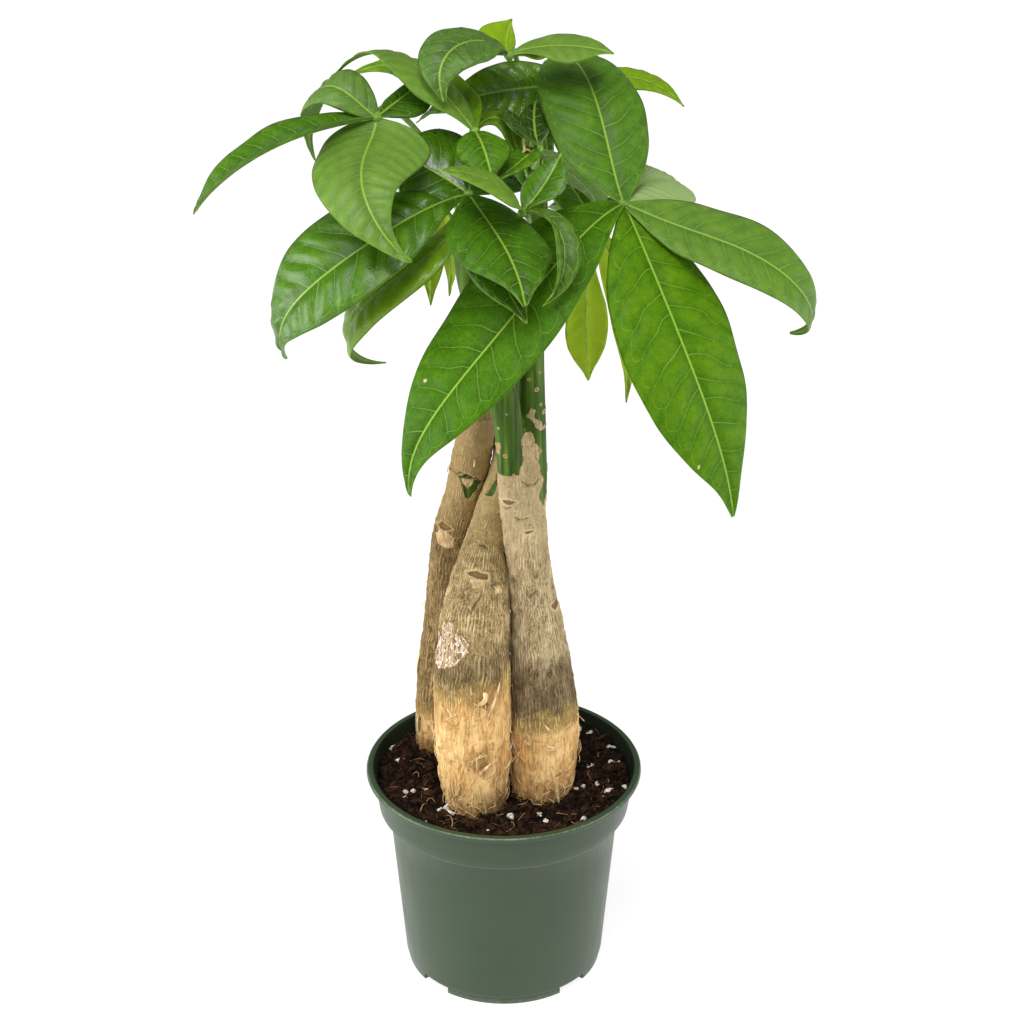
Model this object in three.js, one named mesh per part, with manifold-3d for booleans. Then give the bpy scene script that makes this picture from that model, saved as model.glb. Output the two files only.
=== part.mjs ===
// A money tree in a green nursery pot: three upright trunks and palmate leaves.
// Millimetres, +Z up, the pot's axis on the origin, its feet on z = 0.
import * as THREE from 'three';
import { mergeVertices } from 'three/addons/utils/BufferGeometryUtils.js';
import Module from 'manifold-3d';

const wasm = await Module();
wasm.setup();

// Driving dimensions.
const potHeight = 130;
const rimRadius = 80;
const lipWidth = 4;
const lipDepth = 3.2;
const bandTopRadius = 76;
const bandLowRadius = 73;
const bandDepth = 25;
const bodyTopRadius = 67.2;
const bodyLowRadius = 58.8;
const wallThickness = 1.7;
const footHeight = 4.5;
const footOuterRadius = 57.5;
const footInnerRadius = 51;
const footHalfAngle = 35;
const footCount = 4;
const drainRadius = 5;
const drainCount = 6;
const drainCircle = 34;
const drainSides = 12;
const footSteps = 8;
const potSegments = 48;

const soilTop = 122;
const soilRelief = 1.3;
const soilSides = 32;
const perliteCount = 24;
const seatGap = 0.3;

const bladeThickness = 0.8;
const petioleRadius = 1.5;
const petioleSteps = 5;
const petioleSides = 6;
const hubRadius = 2.9;
const narrowBlade = 31;

// Half width of a leaflet along its length, as a share of the widest.
const outline = [
  [0, 0.06], [0.08, 0.28], [0.2, 0.64], [0.34, 0.93], [0.48, 1],
  [0.63, 0.9], [0.78, 0.6], [0.9, 0.25], [1, 0.035],
];
const wideSteps = [-1, -0.5, 0, 0.5, 1];
const narrowSteps = [-1, 0, 1];

const degrees = Math.PI / 180;
const group = new THREE.Group();

// Solids and meshes.
function toSolid(geometry) {
  const plain = geometry.index ? geometry.clone() : mergeVertices(geometry.clone());
  plain.deleteAttribute('normal');
  plain.deleteAttribute('uv');
  const merged = mergeVertices(plain, 1e-4);
  return new wasm.Manifold(new wasm.Mesh({
    numProp: 3,
    vertProperties: new Float32Array(merged.attributes.position.array),
    triVerts: new Uint32Array(merged.index.array),
  }));
}

function toGeometry(solid) {
  const mesh = solid.getMesh();
  const geometry = new THREE.BufferGeometry();
  geometry.setAttribute('position', new THREE.BufferAttribute(mesh.vertProperties, 3));
  geometry.setIndex(new THREE.BufferAttribute(mesh.triVerts, 1));
  geometry.computeVertexNormals();
  return geometry;
}

function place(name, geometry, look) {
  const material = new THREE.MeshStandardMaterial(look);
  const mesh = new THREE.Mesh(geometry, material);
  mesh.name = name;
  group.add(mesh);
}

// A closed grid of rings: rows of equal length, capped by a fan at both ends.
function ringSolid(rings) {
  const points = [];
  const faces = [];
  const n = rings[0].length;
  rings.forEach((ring) => ring.forEach((p) => points.push(p.x, p.y, p.z)));
  for (let i = 0; i < rings.length - 1; i += 1) {
    for (let j = 0; j < n; j += 1) {
      const a = i * n + j;
      const b = i * n + ((j + 1) % n);
      faces.push(a, b, b + n, a, b + n, a + n);
    }
  }
  [0, rings.length - 1].forEach((row) => {
    const middle = new THREE.Vector3();
    rings[row].forEach((p) => middle.addScaledVector(p, 1 / n));
    const tip = points.length / 3;
    points.push(middle.x, middle.y, middle.z);
    for (let j = 0; j < n; j += 1) {
      const a = row * n + j;
      const b = row * n + ((j + 1) % n);
      if (row === 0) faces.push(tip, b, a);
      else faces.push(tip, a, b);
    }
  });
  const geometry = new THREE.BufferGeometry();
  geometry.setAttribute('position', new THREE.BufferAttribute(new Float32Array(points), 3));
  geometry.setIndex(faces);
  return geometry;
}

// The curve through all the given points, spaced along it by their distance.
function curveThrough(points) {
  const knots = [0];
  for (let i = 1; i < points.length; i += 1) {
    knots.push(knots[i - 1] + points[i].distanceTo(points[i - 1]));
  }
  const total = knots[knots.length - 1];
  return (t) => {
    const at = t * total;
    const work = points.map((p) => p.clone());
    for (let level = 1; level < points.length; level += 1) {
      for (let i = 0; i < points.length - level; i += 1) {
        const span = knots[i + level] - knots[i];
        const share = (at - knots[i]) / span;
        work[i].lerp(work[i + 1], share);
      }
    }
    return work[0];
  };
}

function vector(list) {
  return new THREE.Vector3(list[0], list[1], list[2]);
}

// The pot: a turned shell, four feet and the drain holes.
function buildPot() {
  const bandLow = potHeight - bandDepth;
  const floorTop = footHeight + 2;
  const inner = (r) => r - wallThickness;
  const profile = [
    [0, footHeight],
    [footOuterRadius - 3, footHeight],
    [footOuterRadius - 1.5, footHeight - 0.9],
    [footOuterRadius, footHeight - 0.4],
    [bodyLowRadius - 0.5, footHeight + 0.6],
    [bodyLowRadius, footHeight + 2],
    [bodyTopRadius, bandLow - 0.4],
    [bodyTopRadius + 0.6, bandLow],
    [bandLowRadius - 1, bandLow],
    [bandLowRadius, bandLow + 1],
    [bandTopRadius, potHeight - lipDepth],
    [rimRadius - 0.8, potHeight - lipDepth + 0.2],
    [rimRadius, potHeight - lipDepth + 1],
    [rimRadius - 0.3, potHeight - 0.6],
    [rimRadius - 1.2, potHeight],
    [rimRadius - lipWidth, potHeight],
    [inner(bandTopRadius) + 0.6, potHeight - 1.4],
    [inner(bandLowRadius), bandLow + 2],
    [inner(bodyTopRadius) + 0.6, bandLow + 1.6],
    [inner(bodyTopRadius), bandLow],
    [inner(bodyLowRadius), floorTop + 1.5],
    [inner(bodyLowRadius) - 1.5, floorTop],
    [0, floorTop],
  ];
  const turned = new THREE.LatheGeometry(
    profile.map(([r, z]) => new THREE.Vector2(r, z)), potSegments);
  turned.rotateX(Math.PI / 2);
  let pot = toSolid(turned);
  for (let i = 0; i < footCount; i += 1) {
    const facing = (-90 + (i * 360) / footCount) * degrees;
    const from = facing - footHalfAngle * degrees;
    const to = facing + footHalfAngle * degrees;
    const arc = new THREE.Shape();
    arc.absarc(0, 0, footOuterRadius, from, to, false);
    arc.absarc(0, 0, footInnerRadius, to, from, true);
    arc.closePath();
    const foot = new THREE.ExtrudeGeometry(arc, {
      depth: footHeight + 1, bevelEnabled: false, curveSegments: footSteps,
    });
    pot = pot.add(toSolid(foot));
  }
  for (let i = 0; i < drainCount; i += 1) {
    const angle = (i * 360) / drainCount * degrees;
    const drill = new THREE.CylinderGeometry(drainRadius, drainRadius, 12, drainSides);
    drill.rotateX(Math.PI / 2);
    drill.translate(drainCircle * Math.cos(angle), drainCircle * Math.sin(angle), footHeight);
    pot = pot.subtract(toSolid(drill));
  }
  return pot;
}

// Trunks and shoots: x, y, z and radius along each axis.
const trunks = {
  left: [
    [-33, 32, 74, 11.5], [-35.5, 33.5, 100, 12.4], [-38.5, 35.5, 122, 13.6],
    [-38.2, 35, 145, 14], [-36.7, 33, 180, 13],
    [-33.6, 30, 221, 11.8], [-30, 25, 262, 11], [-22.6, 20, 291, 11], [-16.5, 17, 324, 11],
    [-14, 17.5, 345, 10.6],
  ],
  front: [
    [-17, -27, 74, 15], [-15.6, -28, 112, 16.8], [-15.8, -27, 128, 18.6], [-16.8, -26, 150, 21],
    [-17.8, -25.5, 175, 22.2], [-17.8, -25, 196, 21.8], [-15.6, -21, 234, 19.4],
    [-12, -12, 259, 16], [-8.4, -3, 275, 13.2], [-2.4, 7, 295, 11.4],
    [1.4, 12, 309, 10.2], [4.2, 17, 324, 9.6],
  ],
  right: [
    [22, -14, 74, 15], [21.4, -15, 112, 16.6], [22.2, -15, 128, 18], [23.6, -15, 143, 19.4],
    [23.2, -15, 169, 19], [21.8, -14.5, 195, 17.6], [18.2, -14, 233, 14.9],
    [14.2, -13.5, 266, 12.3], [11.8, -13, 288, 12.2], [10.8, -12.6, 305, 11.8],
    [10.2, -12, 319, 10.4], [9.6, -11.6, 334, 7.6], [9.2, -11.4, 350, 4],
  ],
};
const shoots = {
  left: [
    [-14.5, 17, 335, 9.4], [-13.6, 18, 352, 8], [-13.4, 20, 380, 7.2], [-15, 23, 408, 6.4],
    [-18, 26, 432, 5],
  ],
  back: [
    [3, 15, 314, 8.8], [3, 23, 334, 8.5], [5, 28, 352, 7.6], [17, 30, 386, 5.6],
    [21, 31, 410, 4.4],
  ],
  front: [
    [7, -15, 298, 8.6], [4.6, -16.5, 321, 8], [3.4, -17.5, 345, 8.3], [1.1, -18, 366, 8.6],
    [-2.4, -17, 386, 8.7], [-9, -14, 408, 8.5], [-15.4, -11, 428, 8.2], [-19.4, -8, 451, 7.4],
    [-20.5, -6, 466, 6],
  ],
  right: [
    [14.5, -9, 296, 8.4], [15.8, -7.4, 318, 8.6], [15.4, -6, 340, 8.6], [14.6, -4, 367, 8.5],
    [14, -2, 395, 8.3], [16.6, -0.5, 430, 7.6], [18.6, 0.5, 455, 6.4], [18.6, 0, 478, 4.8],
    [17, -2, 496, 3.4],
  ],
};
const trunkSides = 16;
const shootSides = 12;

// Slow swellings and dents along a trunk, so that it isn't a plain tube.
function swelling(seed, z, angle) {
  const slow = Math.sin(z * 0.045 + seed * 2.1 + 1.5 * Math.sin(angle + seed));
  const quick = Math.sin(z * 0.13 + 2 * angle + seed * 3.7);
  return 1 + 0.022 * slow + 0.012 * quick;
}

function stemSolid(rows, sides, seed, extra) {
  const bumpy = seed > 0;
  const axis = rows.map((r) => vector(r));
  const rings = rows.map((row, i) => {
    const before = axis[Math.max(0, i - 1)];
    const after = axis[Math.min(rows.length - 1, i + 1)];
    const along = after.clone().sub(before).normalize();
    const side = new THREE.Vector3(1, 0, 0);
    side.addScaledVector(along, -side.dot(along)).normalize();
    const front = along.clone().cross(side);
    const ring = [];
    for (let k = 0; k < sides; k += 1) {
      const angle = (k / sides) * 2 * Math.PI;
      const swell = bumpy ? swelling(seed, row[2], angle) : 1;
      const radius = row[3] * swell + extra;
      const p = axis[i].clone();
      p.addScaledVector(side, radius * Math.cos(angle));
      p.addScaledVector(front, radius * Math.sin(angle));
      ring.push(p);
    }
    return ring;
  });
  return toSolid(ringSolid(rings));
}

function trunkSolid(name, seed, shootNames, extra) {
  let solid = stemSolid(trunks[name], trunkSides, seed, extra);
  shootNames.forEach((shoot) => {
    solid = solid.add(stemSolid(shoots[shoot], shootSides, 0, extra));
  });
  return solid;
}

const trunkPlan = [
  { name: 'left', seed: 1, shoots: ['left'], colour: 0x9a7f5c },
  { name: 'front', seed: 2, shoots: ['back'], colour: 0x94784f },
  { name: 'right', seed: 3, shoots: ['front', 'right'], colour: 0x8f7450 },
];

// The soil, with perlite grains in its surface and a plain hole for each trunk.
function seeded(seed) {
  let state = seed;
  return () => {
    state = (state * 16807) % 2147483647;
    return state / 2147483647;
  };
}

function soilHeight(x, y) {
  const broad = Math.sin(x * 0.11 + 1.3) * Math.cos(y * 0.13 - 0.4);
  const lumps = Math.sin(x * 0.47 + y * 0.21) * Math.sin(y * 0.53 - x * 0.17 + 2);
  return soilTop + soilRelief * (0.55 * broad + 0.65 * lumps);
}

function nearTrunk(x, y) {
  const clear = 4;
  return trunkPlan.some(({ name }) => {
    const row = trunks[name].find((r) => r[2] > soilTop - 1);
    return Math.hypot(x - row[0], y - row[1]) < row[3] + clear;
  });
}

function buildSoil() {
  const bandLow = potHeight - bandDepth;
  const wallAt = (r) => r - wallThickness - seatGap;
  const edge = wallAt(bandLowRadius) + 1.2;
  const floor = footHeight + 2 + seatGap;
  const rings = [];
  const radii = [
    [wallAt(bodyLowRadius) - 2.2, floor], [wallAt(bodyLowRadius) - 0.2, floor + 2.4],
    [wallAt(bodyTopRadius) - 0.2, bandLow + 2.4], [wallAt(bandLowRadius), bandLow + 3],
    [edge, soilTop - 3],
  ];
  radii.forEach(([r, z]) => {
    const ring = [];
    for (let k = 0; k < soilSides; k += 1) {
      const angle = (k / soilSides) * 2 * Math.PI;
      ring.push(new THREE.Vector3(r * Math.cos(angle), r * Math.sin(angle), z));
    }
    rings.push(ring);
  });
  [1, 0.84, 0.66, 0.48, 0.3, 0.12].forEach((share) => {
    const ring = [];
    for (let k = 0; k < soilSides; k += 1) {
      const angle = (k / soilSides) * 2 * Math.PI;
      const x = edge * share * Math.cos(angle);
      const y = edge * share * Math.sin(angle);
      ring.push(new THREE.Vector3(x, y, soilHeight(x, y)));
    }
    rings.push(ring);
  });
  let soil = toSolid(ringSolid(rings));
  const draw = seeded(11);
  for (let i = 0; i < perliteCount; i += 1) {
    const reach = 66 * Math.sqrt(draw());
    const angle = draw() * 2 * Math.PI;
    const size = 1.3 + 1.6 * draw();
    const x = reach * Math.cos(angle);
    const y = reach * Math.sin(angle);
    const turn = draw() * 3;
    if (nearTrunk(x, y)) continue;
    const grain = new THREE.IcosahedronGeometry(size, 0);
    grain.scale(1, 0.85, 0.8);
    grain.rotateZ(turn);
    grain.translate(x, y, soilHeight(x, y) - size * 0.3);
    soil = soil.add(toSolid(grain));
  }
  trunkPlan.forEach((plan) => {
    soil = soil.subtract(stemSolid(trunks[plan.name], trunkSides, plan.seed, seatGap));
  });
  return soil;
}

// The leaves.
// path: the midrib from the hub to the tip. wide: full width. roll and twist
// turn the blade about the midrib, fold lifts its halves, bow droops its edges,
// and a skew over 1 brings the widest place nearer to the hub. trim changes
// one half: its side, then the factor on its width at the hub and at the tip.
const leaves = {
  leaf_right: {
    foot: [17.5, 0, 440], via: [[40, -18, 472]], hub: [61, -40, 485],
    blades: [
      { path: [[53, -15, 510], [43, 14, 535], [34, 42, 537], [28, 62, 525]],
        wide: 58, roll: 0, fold: 8, bow: 16, skew: 1.15, trim: [1, 0.95, 0.82] },
      { path: [[77, -2, 485], [102, 44, 460]], wide: 46, roll: 25, fold: 12, bow: 20 },
      { path: [[88, -46, 475.5], [122, -56, 465.5], [149, -60, 447], [157.5, -52, 427], [148, -40, 415]],
        wide: 48, roll: 20, fold: 4, bow: 8, skew: 1.2, trim: [1, 0.86, 0.9] },
      { path: [[73, -64, 463], [93, -92, 420], [106, -96, 385], [118, -90, 334]],
        wide: 67, roll: 0, fold: 8, bow: 16, skew: 1.12, trim: [1, 0.97, 1.03] },
      { path: [[35, -66, 472], [4, -90, 442], [-33, -102, 397], [-47, -92, 347]],
        wide: 72, roll: -12, fold: 8, bow: 14, skew: 1.25, trim: [-1, 0.5, 1] },
    ],
  },
  leaf_centre: {
    foot: [-19, -10, 446], via: [[-22, -28, 476]], hub: [-17, -52, 494],
    blades: [
      { path: [[-52, -74, 485], [-81, -84, 468], [-103, -82, 447], [-109, -66, 412]],
        wide: 61, roll: -26, fold: 6, bow: 10, skew: 0.94, trim: [-1, 0.8, 0.78] },
      { path: [[-2, -84, 483], [7, -106, 472], [11, -120, 460]],
        wide: 52, roll: 0, fold: 10, bow: 20 },
      { path: [[-33, -46, 503], [-56, -41, 513]],
        wide: 59, roll: -32, fold: 8, bow: 16, trim: [-1, 0.8, 0.8] },
      { path: [[-35, -62, 467], [-66, -68, 444], [-78, -62, 421], [-60, -48, 402]],
        wide: 31, roll: -10, fold: 20, bow: 30 },
      { path: [[-5, -80, 470], [12, -112, 448]], wide: 32, roll: 0, fold: 20, bow: 20 },
    ],
  },
  leaf_left: {
    foot: [-21, -6, 458], via: [[-34, 8, 492], [-52, -6, 521]], hub: [-62, -42, 530],
    blades: [
      { path: [[-94, -56, 527], [-126, -64, 513.5], [-143, -62, 499], [-153.5, -54, 484]],
        wide: 30, roll: 0, fold: 36, bow: 16 },
      { path: [[-68, -74, 516], [-66, -92, 506], [-57, -102, 491], [-43, -106, 478]],
        wide: 52, roll: 0, fold: 8, bow: 16, skew: 1.6, trim: [-1, 1.5, 0.4] },
      { path: [[-72, -40, 538], [-83, -36, 544], [-92, -27, 539], [-98, -20, 521], [-95, -20, 501]],
        wide: 35, roll: -20, fold: 8, bow: 16, skew: 1.3, trim: [-1, 0.65, 0.9] },
      { path: [[-50, -26, 536], [-37, -8, 540]],
        wide: 30, roll: 20, fold: 10, bow: 16, trim: [-1, 0.35, 0.5] },
    ],
  },
  leaf_upper_left: {
    foot: [-20.5, -5, 462], via: [[-17, -10, 496]], hub: [-14, -38, 522],
    blades: [
      { path: [[-35, -22, 543], [-56, -12, 554], [-85, -20, 544]],
        wide: 44, roll: 0, twist: 30, fold: 10, bow: 20 },
      { path: [[-24, -8, 533], [-54, 18, 540], [-81, 12, 534]],
        wide: 26, roll: 0, fold: 10, bow: 20 },
      { path: [[-10, -50, 519], [-5, -62, 504]], wide: 30, roll: 0, fold: 10, bow: 20 },
    ],
  },
  leaf_top: {
    foot: [18, 0, 478], via: [[12, 26, 500], [10, 39, 524], [6, 31, 543], [4, 13, 549]], hub: [3, -10, 553],
    blades: [
      { path: [[-15, -21, 563], [-28, -35, 558.5], [-28, -44, 538]],
        wide: 37, roll: 0, fold: 10, bow: 16 },
      { path: [[25, -4, 556], [56, -9, 553]], wide: 30, roll: 12, fold: 8, bow: 16, skew: 0.8 },
      { path: [[2, 2, 558], [5, 10, 566]], wide: 30, roll: 0, fold: 20, bow: 10, trim: [1, 0.4, 0.25] },
      { path: [[-12, 12, 547], [-27, 28, 538]], wide: 24, roll: 0, fold: 10, bow: 20 },
      { path: [[12, -2, 551], [24, 7, 547]], wide: 16, roll: 0, fold: 10, bow: 16 },
    ],
  },
  leaf_upper_right: {
    foot: [19, 1, 468], via: [[32, 14, 500]], hub: [44, 34, 524],
    blades: [
      { path: [[4, 20, 526.5], [-32, 8, 520.5]],
        wide: 36, roll: -56, fold: 8, bow: 10, trim: [1, 0.7, 1] },
      { path: [[66, 38, 528], [95, 34, 513]], wide: 26, roll: 10, fold: 16, bow: 20 },
    ],
  },
  leaf_young_front: {
    foot: [17.5, -1, 436], via: [[13, -41, 477]], hub: [10, -72, 491],
    blades: [
      { path: [[20, -62, 501], [30, -50, 515]], wide: 26, roll: 0, fold: 14, bow: 16 },
      { path: [[-6, -80, 510], [-31, -80, 515]], wide: 35, roll: -30, fold: 10, bow: 16 },
      { path: [[27, -85, 487], [30, -95, 474], [19, -100, 453]],
        wide: 17, roll: 0, fold: 40, bow: 10 },
    ],
  },
  leaf_young_inner: {
    foot: [17, -2, 492], via: [[18, -14, 501]], hub: [18, -24, 509],
    blades: [
      { path: [[10, -22, 519], [-2, -14, 528]], wide: 30, roll: 0, fold: 10, bow: 16 },
      { path: [[16, -7, 518], [17, 9, 524]], wide: 17, roll: 0, fold: 10, bow: 16 },
      { path: [[30, -10, 496], [44, -1, 481], [50, 7, 463]],
        wide: 34, roll: 0, fold: 8, bow: 16, trim: [-1, 0.55, 0.7] },
      { path: [[8, -40, 506], [-3, -54, 501]], wide: 20, roll: 0, fold: 20, bow: 10 },
      { path: [[5, -16, 513], [-5, -12, 521], [-12, -14, 517], [-5, -18, 513]],
        wide: 14, roll: 0, fold: 10, bow: 10 },
    ],
  },
  leaf_back_right: {
    foot: [20, 31, 400], via: [[32, 40, 432]], hub: [48, 40, 448],
    blades: [
      { path: [[46, 58, 398], [48, 58, 347]], wide: 25, roll: 0, fold: 10, bow: 16, skew: 0.5 },
      { path: [[70, 70, 376], [70, 66, 330]], wide: 24, roll: 0, fold: 10, bow: 16 },
      { path: [[76, 62, 446], [108, 80, 420]], wide: 40, roll: 0, fold: 10, bow: 20 },
      { path: [[46, 80, 447], [46, 114, 414]], wide: 46, roll: 0, fold: 10, bow: 20 },
      { path: [[37, 50, 464], [25, 56, 477]], wide: 30, roll: 0, fold: 10, bow: 16 },
    ],
  },
  leaf_back_left: {
    foot: [-17, 27, 420], via: [[-26, 40, 446]], hub: [-40, 48, 462],
    blades: [
      { path: [[-40, 56, 430], [-40, 46, 397]], wide: 18, roll: 0, fold: 10, bow: 16 },
      { path: [[-31, 56, 436], [-30, 50, 401]], wide: 18, roll: 0, fold: 10, bow: 16 },
      { path: [[-62, 66, 470], [-90, 86, 452]], wide: 44, roll: 0, fold: 10, bow: 20 },
      { path: [[-42, 78, 466], [-46, 116, 436]], wide: 46, roll: 0, fold: 10, bow: 20 },
      { path: [[-66, 40, 474], [-96, 36, 462]], wide: 30.5, roll: 0, fold: 10, bow: 20 },
      { path: [[-8, 54, 467], [24, 60, 460]], wide: 44, roll: 0, fold: 10, bow: 16 },
    ],
  },
  leaf_back_upper: {
    foot: [18.5, 2, 470], via: [[22, 26, 492]], hub: [18, 46, 508],
    blades: [
      { path: [[40, 64, 514], [64, 94, 494]], wide: 44, roll: 0, fold: 10, bow: 20 },
      { path: [[0, 68, 516], [-22, 100, 494]], wide: 46, roll: 0, fold: 10, bow: 20 },
      { path: [[16, 78, 512], [20, 121, 478]], wide: 48, roll: 0, fold: 10, bow: 20 },
      { path: [[-10, 46, 516], [-46, 48, 500]], wide: 40, roll: 0, fold: 10, bow: 20 },
      { path: [[14, 37, 490], [13, 34, 466]], wide: 28, roll: 0, fold: 10, bow: 16 },
    ],
  },
};

function bladeSolid(hub, blade) {
  const path = [vector(hub), ...blade.path.map(vector)];
  const curve = curveThrough(path);
  const roll = (blade.roll || 0) * degrees;
  const twist = (blade.twist || 0) * degrees;
  const fold = blade.fold * degrees;
  const bow = blade.bow * degrees;
  const [trimSide, trimHub, trimTip] = blade.trim || [0, 1, 1];
  const up = new THREE.Vector3(0, 0, 1);
  const step = 0.004;
  const slopeAt = (t) => {
    const ahead = curve(Math.min(1, t + step));
    return ahead.sub(curve(Math.max(0, t - step))).normalize();
  };
  let along = slopeAt(0);
  let side = along.clone().cross(up).normalize();
  side.applyAxisAngle(along, roll);
  const acrossSteps = blade.wide < narrowBlade ? narrowSteps : wideSteps;
  const top = [];
  const under = [];
  let last = 0;
  outline.forEach(([station, share]) => {
    const t = station ** (blade.skew || 1);
    const slices = 6;
    for (let s = 1; s <= slices; s += 1) {
      const next = slopeAt(last + ((t - last) * s) / slices);
      side.addScaledVector(next, -side.dot(next)).normalize();
      along = next;
    }
    const turned = side.clone().applyAxisAngle(along, twist * t);
    const normal = turned.clone().cross(along);
    const middle = curve(t);
    acrossSteps.forEach((v) => {
      const left = Math.sign(v) === trimSide ? trimHub + (trimTip - trimHub) * t : 1;
      const half = (blade.wide / 2) * share * left;
      const steps = Math.round(Math.abs(v) * 2);
      let out = 0;
      let lift = 0;
      for (let k = 0; k < steps; k += 1) {
        const lean = fold - bow * (0.25 + 0.5 * k) * 2 * share;
        out += half * 0.5 * Math.cos(lean);
        lift += half * 0.5 * Math.sin(lean);
      }
      const p = middle.clone();
      p.addScaledVector(turned, Math.sign(v) * out);
      p.addScaledVector(normal, lift);
      top.push(p.clone().addScaledVector(normal, bladeThickness / 2));
      under.push(p.clone().addScaledVector(normal, -bladeThickness / 2));
    });
    last = t;
  });
  const across = acrossSteps.length;
  const rows = outline.length;
  const points = [];
  [...top, ...under].forEach((p) => points.push(p.x, p.y, p.z));
  const faces = [];
  const below = rows * across;
  for (let i = 0; i < rows - 1; i += 1) {
    for (let j = 0; j < across - 1; j += 1) {
      const a = i * across + j;
      faces.push(a, a + 1, a + 1 + across, a, a + 1 + across, a + across);
      const b = below + a;
      faces.push(b, b + 1 + across, b + 1, b, b + across, b + 1 + across);
    }
    const l = i * across;
    const r = l + across - 1;
    faces.push(l, l + across, below + l + across, l, below + l + across, below + l);
    faces.push(r, below + r + across, r + across, r, below + r, below + r + across);
  }
  for (let j = 0; j < across - 1; j += 1) {
    const e = (rows - 1) * across + j;
    faces.push(j, below + j, below + j + 1, j, below + j + 1, j + 1);
    faces.push(e, e + 1, below + e + 1, e, below + e + 1, below + e);
  }
  const geometry = new THREE.BufferGeometry();
  geometry.setAttribute('position', new THREE.BufferAttribute(new Float32Array(points), 3));
  geometry.setIndex(faces);
  return toSolid(geometry);
}

function petioleSolid(leaf) {
  const curve = curveThrough([leaf.foot, ...leaf.via, leaf.hub].map(vector));
  const rings = [];
  for (let i = 0; i <= petioleSteps; i += 1) {
    const t = i / petioleSteps;
    const p = curve(t);
    const along = curve(Math.min(1, t + 0.01)).sub(curve(Math.max(0, t - 0.01))).normalize();
    const side = new THREE.Vector3(1, 0, 0);
    side.addScaledVector(along, -side.dot(along)).normalize();
    const front = along.clone().cross(side);
    const swell = petioleRadius * (1 + 0.7 * Math.max(0, 1 - 6 * t));
    const ring = [];
    for (let k = 0; k < petioleSides; k += 1) {
      const angle = (k / petioleSides) * 2 * Math.PI;
      const q = p.clone();
      q.addScaledVector(side, swell * Math.cos(angle));
      q.addScaledVector(front, swell * Math.sin(angle));
      ring.push(q);
    }
    rings.push(ring);
  }
  return toSolid(ringSolid(rings));
}

function leafSolid(leaf) {
  const knot = new THREE.IcosahedronGeometry(hubRadius, 0);
  knot.translate(leaf.hub[0], leaf.hub[1], leaf.hub[2]);
  let solid = toSolid(knot).add(petioleSolid(leaf));
  leaf.blades.forEach((blade) => {
    solid = solid.add(bladeSolid(leaf.hub, blade));
  });
  return solid;
}

// The assembly.
place('pot', toGeometry(buildPot()), { color: 0x5d7257, roughness: 0.42, metalness: 0 });
place('soil', toGeometry(buildSoil()), { color: 0x33261b, roughness: 0.95, metalness: 0 });

// The right trunk keeps its round; the others are flattened where they press on it.
const cutters = [];
[...trunkPlan].reverse().forEach((plan) => {
  let solid = trunkSolid(plan.name, plan.seed, plan.shoots, 0);
  cutters.forEach((cutter) => {
    solid = solid.subtract(cutter);
  });
  place(`trunk_${plan.name}`, toGeometry(solid), {
    color: plan.colour, roughness: 0.85, metalness: 0,
  });
  cutters.push(trunkSolid(plan.name, plan.seed, plan.shoots, seatGap));
});

Object.entries(leaves).forEach(([name, leaf]) => {
  let solid = leafSolid(leaf);
  cutters.forEach((cutter) => {
    solid = solid.subtract(cutter);
  });
  place(name, toGeometry(solid), { color: 0x4f8a2a, roughness: 0.45, metalness: 0 });
});

export default group;
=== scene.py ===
# A money tree in a green nursery pot, dressed on its CAD frame.
# Sizes in the dictionaries are millimetres and degrees; meshes are made in metres.
import math
import bpy
import numpy as np
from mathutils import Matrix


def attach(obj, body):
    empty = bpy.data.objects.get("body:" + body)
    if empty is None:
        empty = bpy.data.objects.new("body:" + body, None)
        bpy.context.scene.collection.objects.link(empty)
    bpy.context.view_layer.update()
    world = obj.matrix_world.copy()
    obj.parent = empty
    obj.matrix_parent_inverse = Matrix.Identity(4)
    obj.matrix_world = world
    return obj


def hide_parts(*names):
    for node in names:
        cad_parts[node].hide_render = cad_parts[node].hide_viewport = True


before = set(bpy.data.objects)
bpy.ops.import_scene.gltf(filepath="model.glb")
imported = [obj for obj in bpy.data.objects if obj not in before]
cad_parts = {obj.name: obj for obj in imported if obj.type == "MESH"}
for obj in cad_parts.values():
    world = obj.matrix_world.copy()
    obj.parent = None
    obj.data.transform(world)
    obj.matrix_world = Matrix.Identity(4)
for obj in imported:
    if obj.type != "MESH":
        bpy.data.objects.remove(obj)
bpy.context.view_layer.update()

mm = 0.001
studio = bpy.context.scene


# Numbers
def unit(v):
    v = np.asarray(v, float)
    return v / np.maximum(np.linalg.norm(v, axis=-1, keepdims=True), 1e-12)


def easeIn(low, high, x):
    share = np.clip((np.asarray(x, float) - low) / (high - low), 0, 1)
    return share * share * (3 - 2 * share)


def hashed(cells, seed):
    mixed = np.full(cells.shape[:-1], 97 + seed * 7919, np.int64)
    for axis in range(cells.shape[-1]):
        mixed = (mixed ^ (cells[..., axis] * (73856093 + 19349663 * axis))) & 0x7FFFFFFF
        mixed = (mixed * 1103515245 + 12345) & 0x7FFFFFFF
        mixed = mixed ^ (mixed >> 15)
    return mixed / 0x7FFFFFFF


def noiseAt(points, size, seed):
    # smooth noise from -1 to 1, in lumps of that size
    p = np.asarray(points, float) / np.asarray(size, float) + 31.7 * (seed + 1)
    cell = np.floor(p).astype(np.int64)
    part = p - cell
    part = part * part * (3 - 2 * part)
    total = np.zeros(p.shape[:-1])
    for corner in range(2 ** p.shape[-1]):
        bits = np.array([(corner >> k) & 1 for k in range(p.shape[-1])])
        weight = np.prod(np.where(bits, part, 1 - part), axis=-1)
        total += weight * hashed(cell + bits, seed)
    return 2 * total - 1


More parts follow.
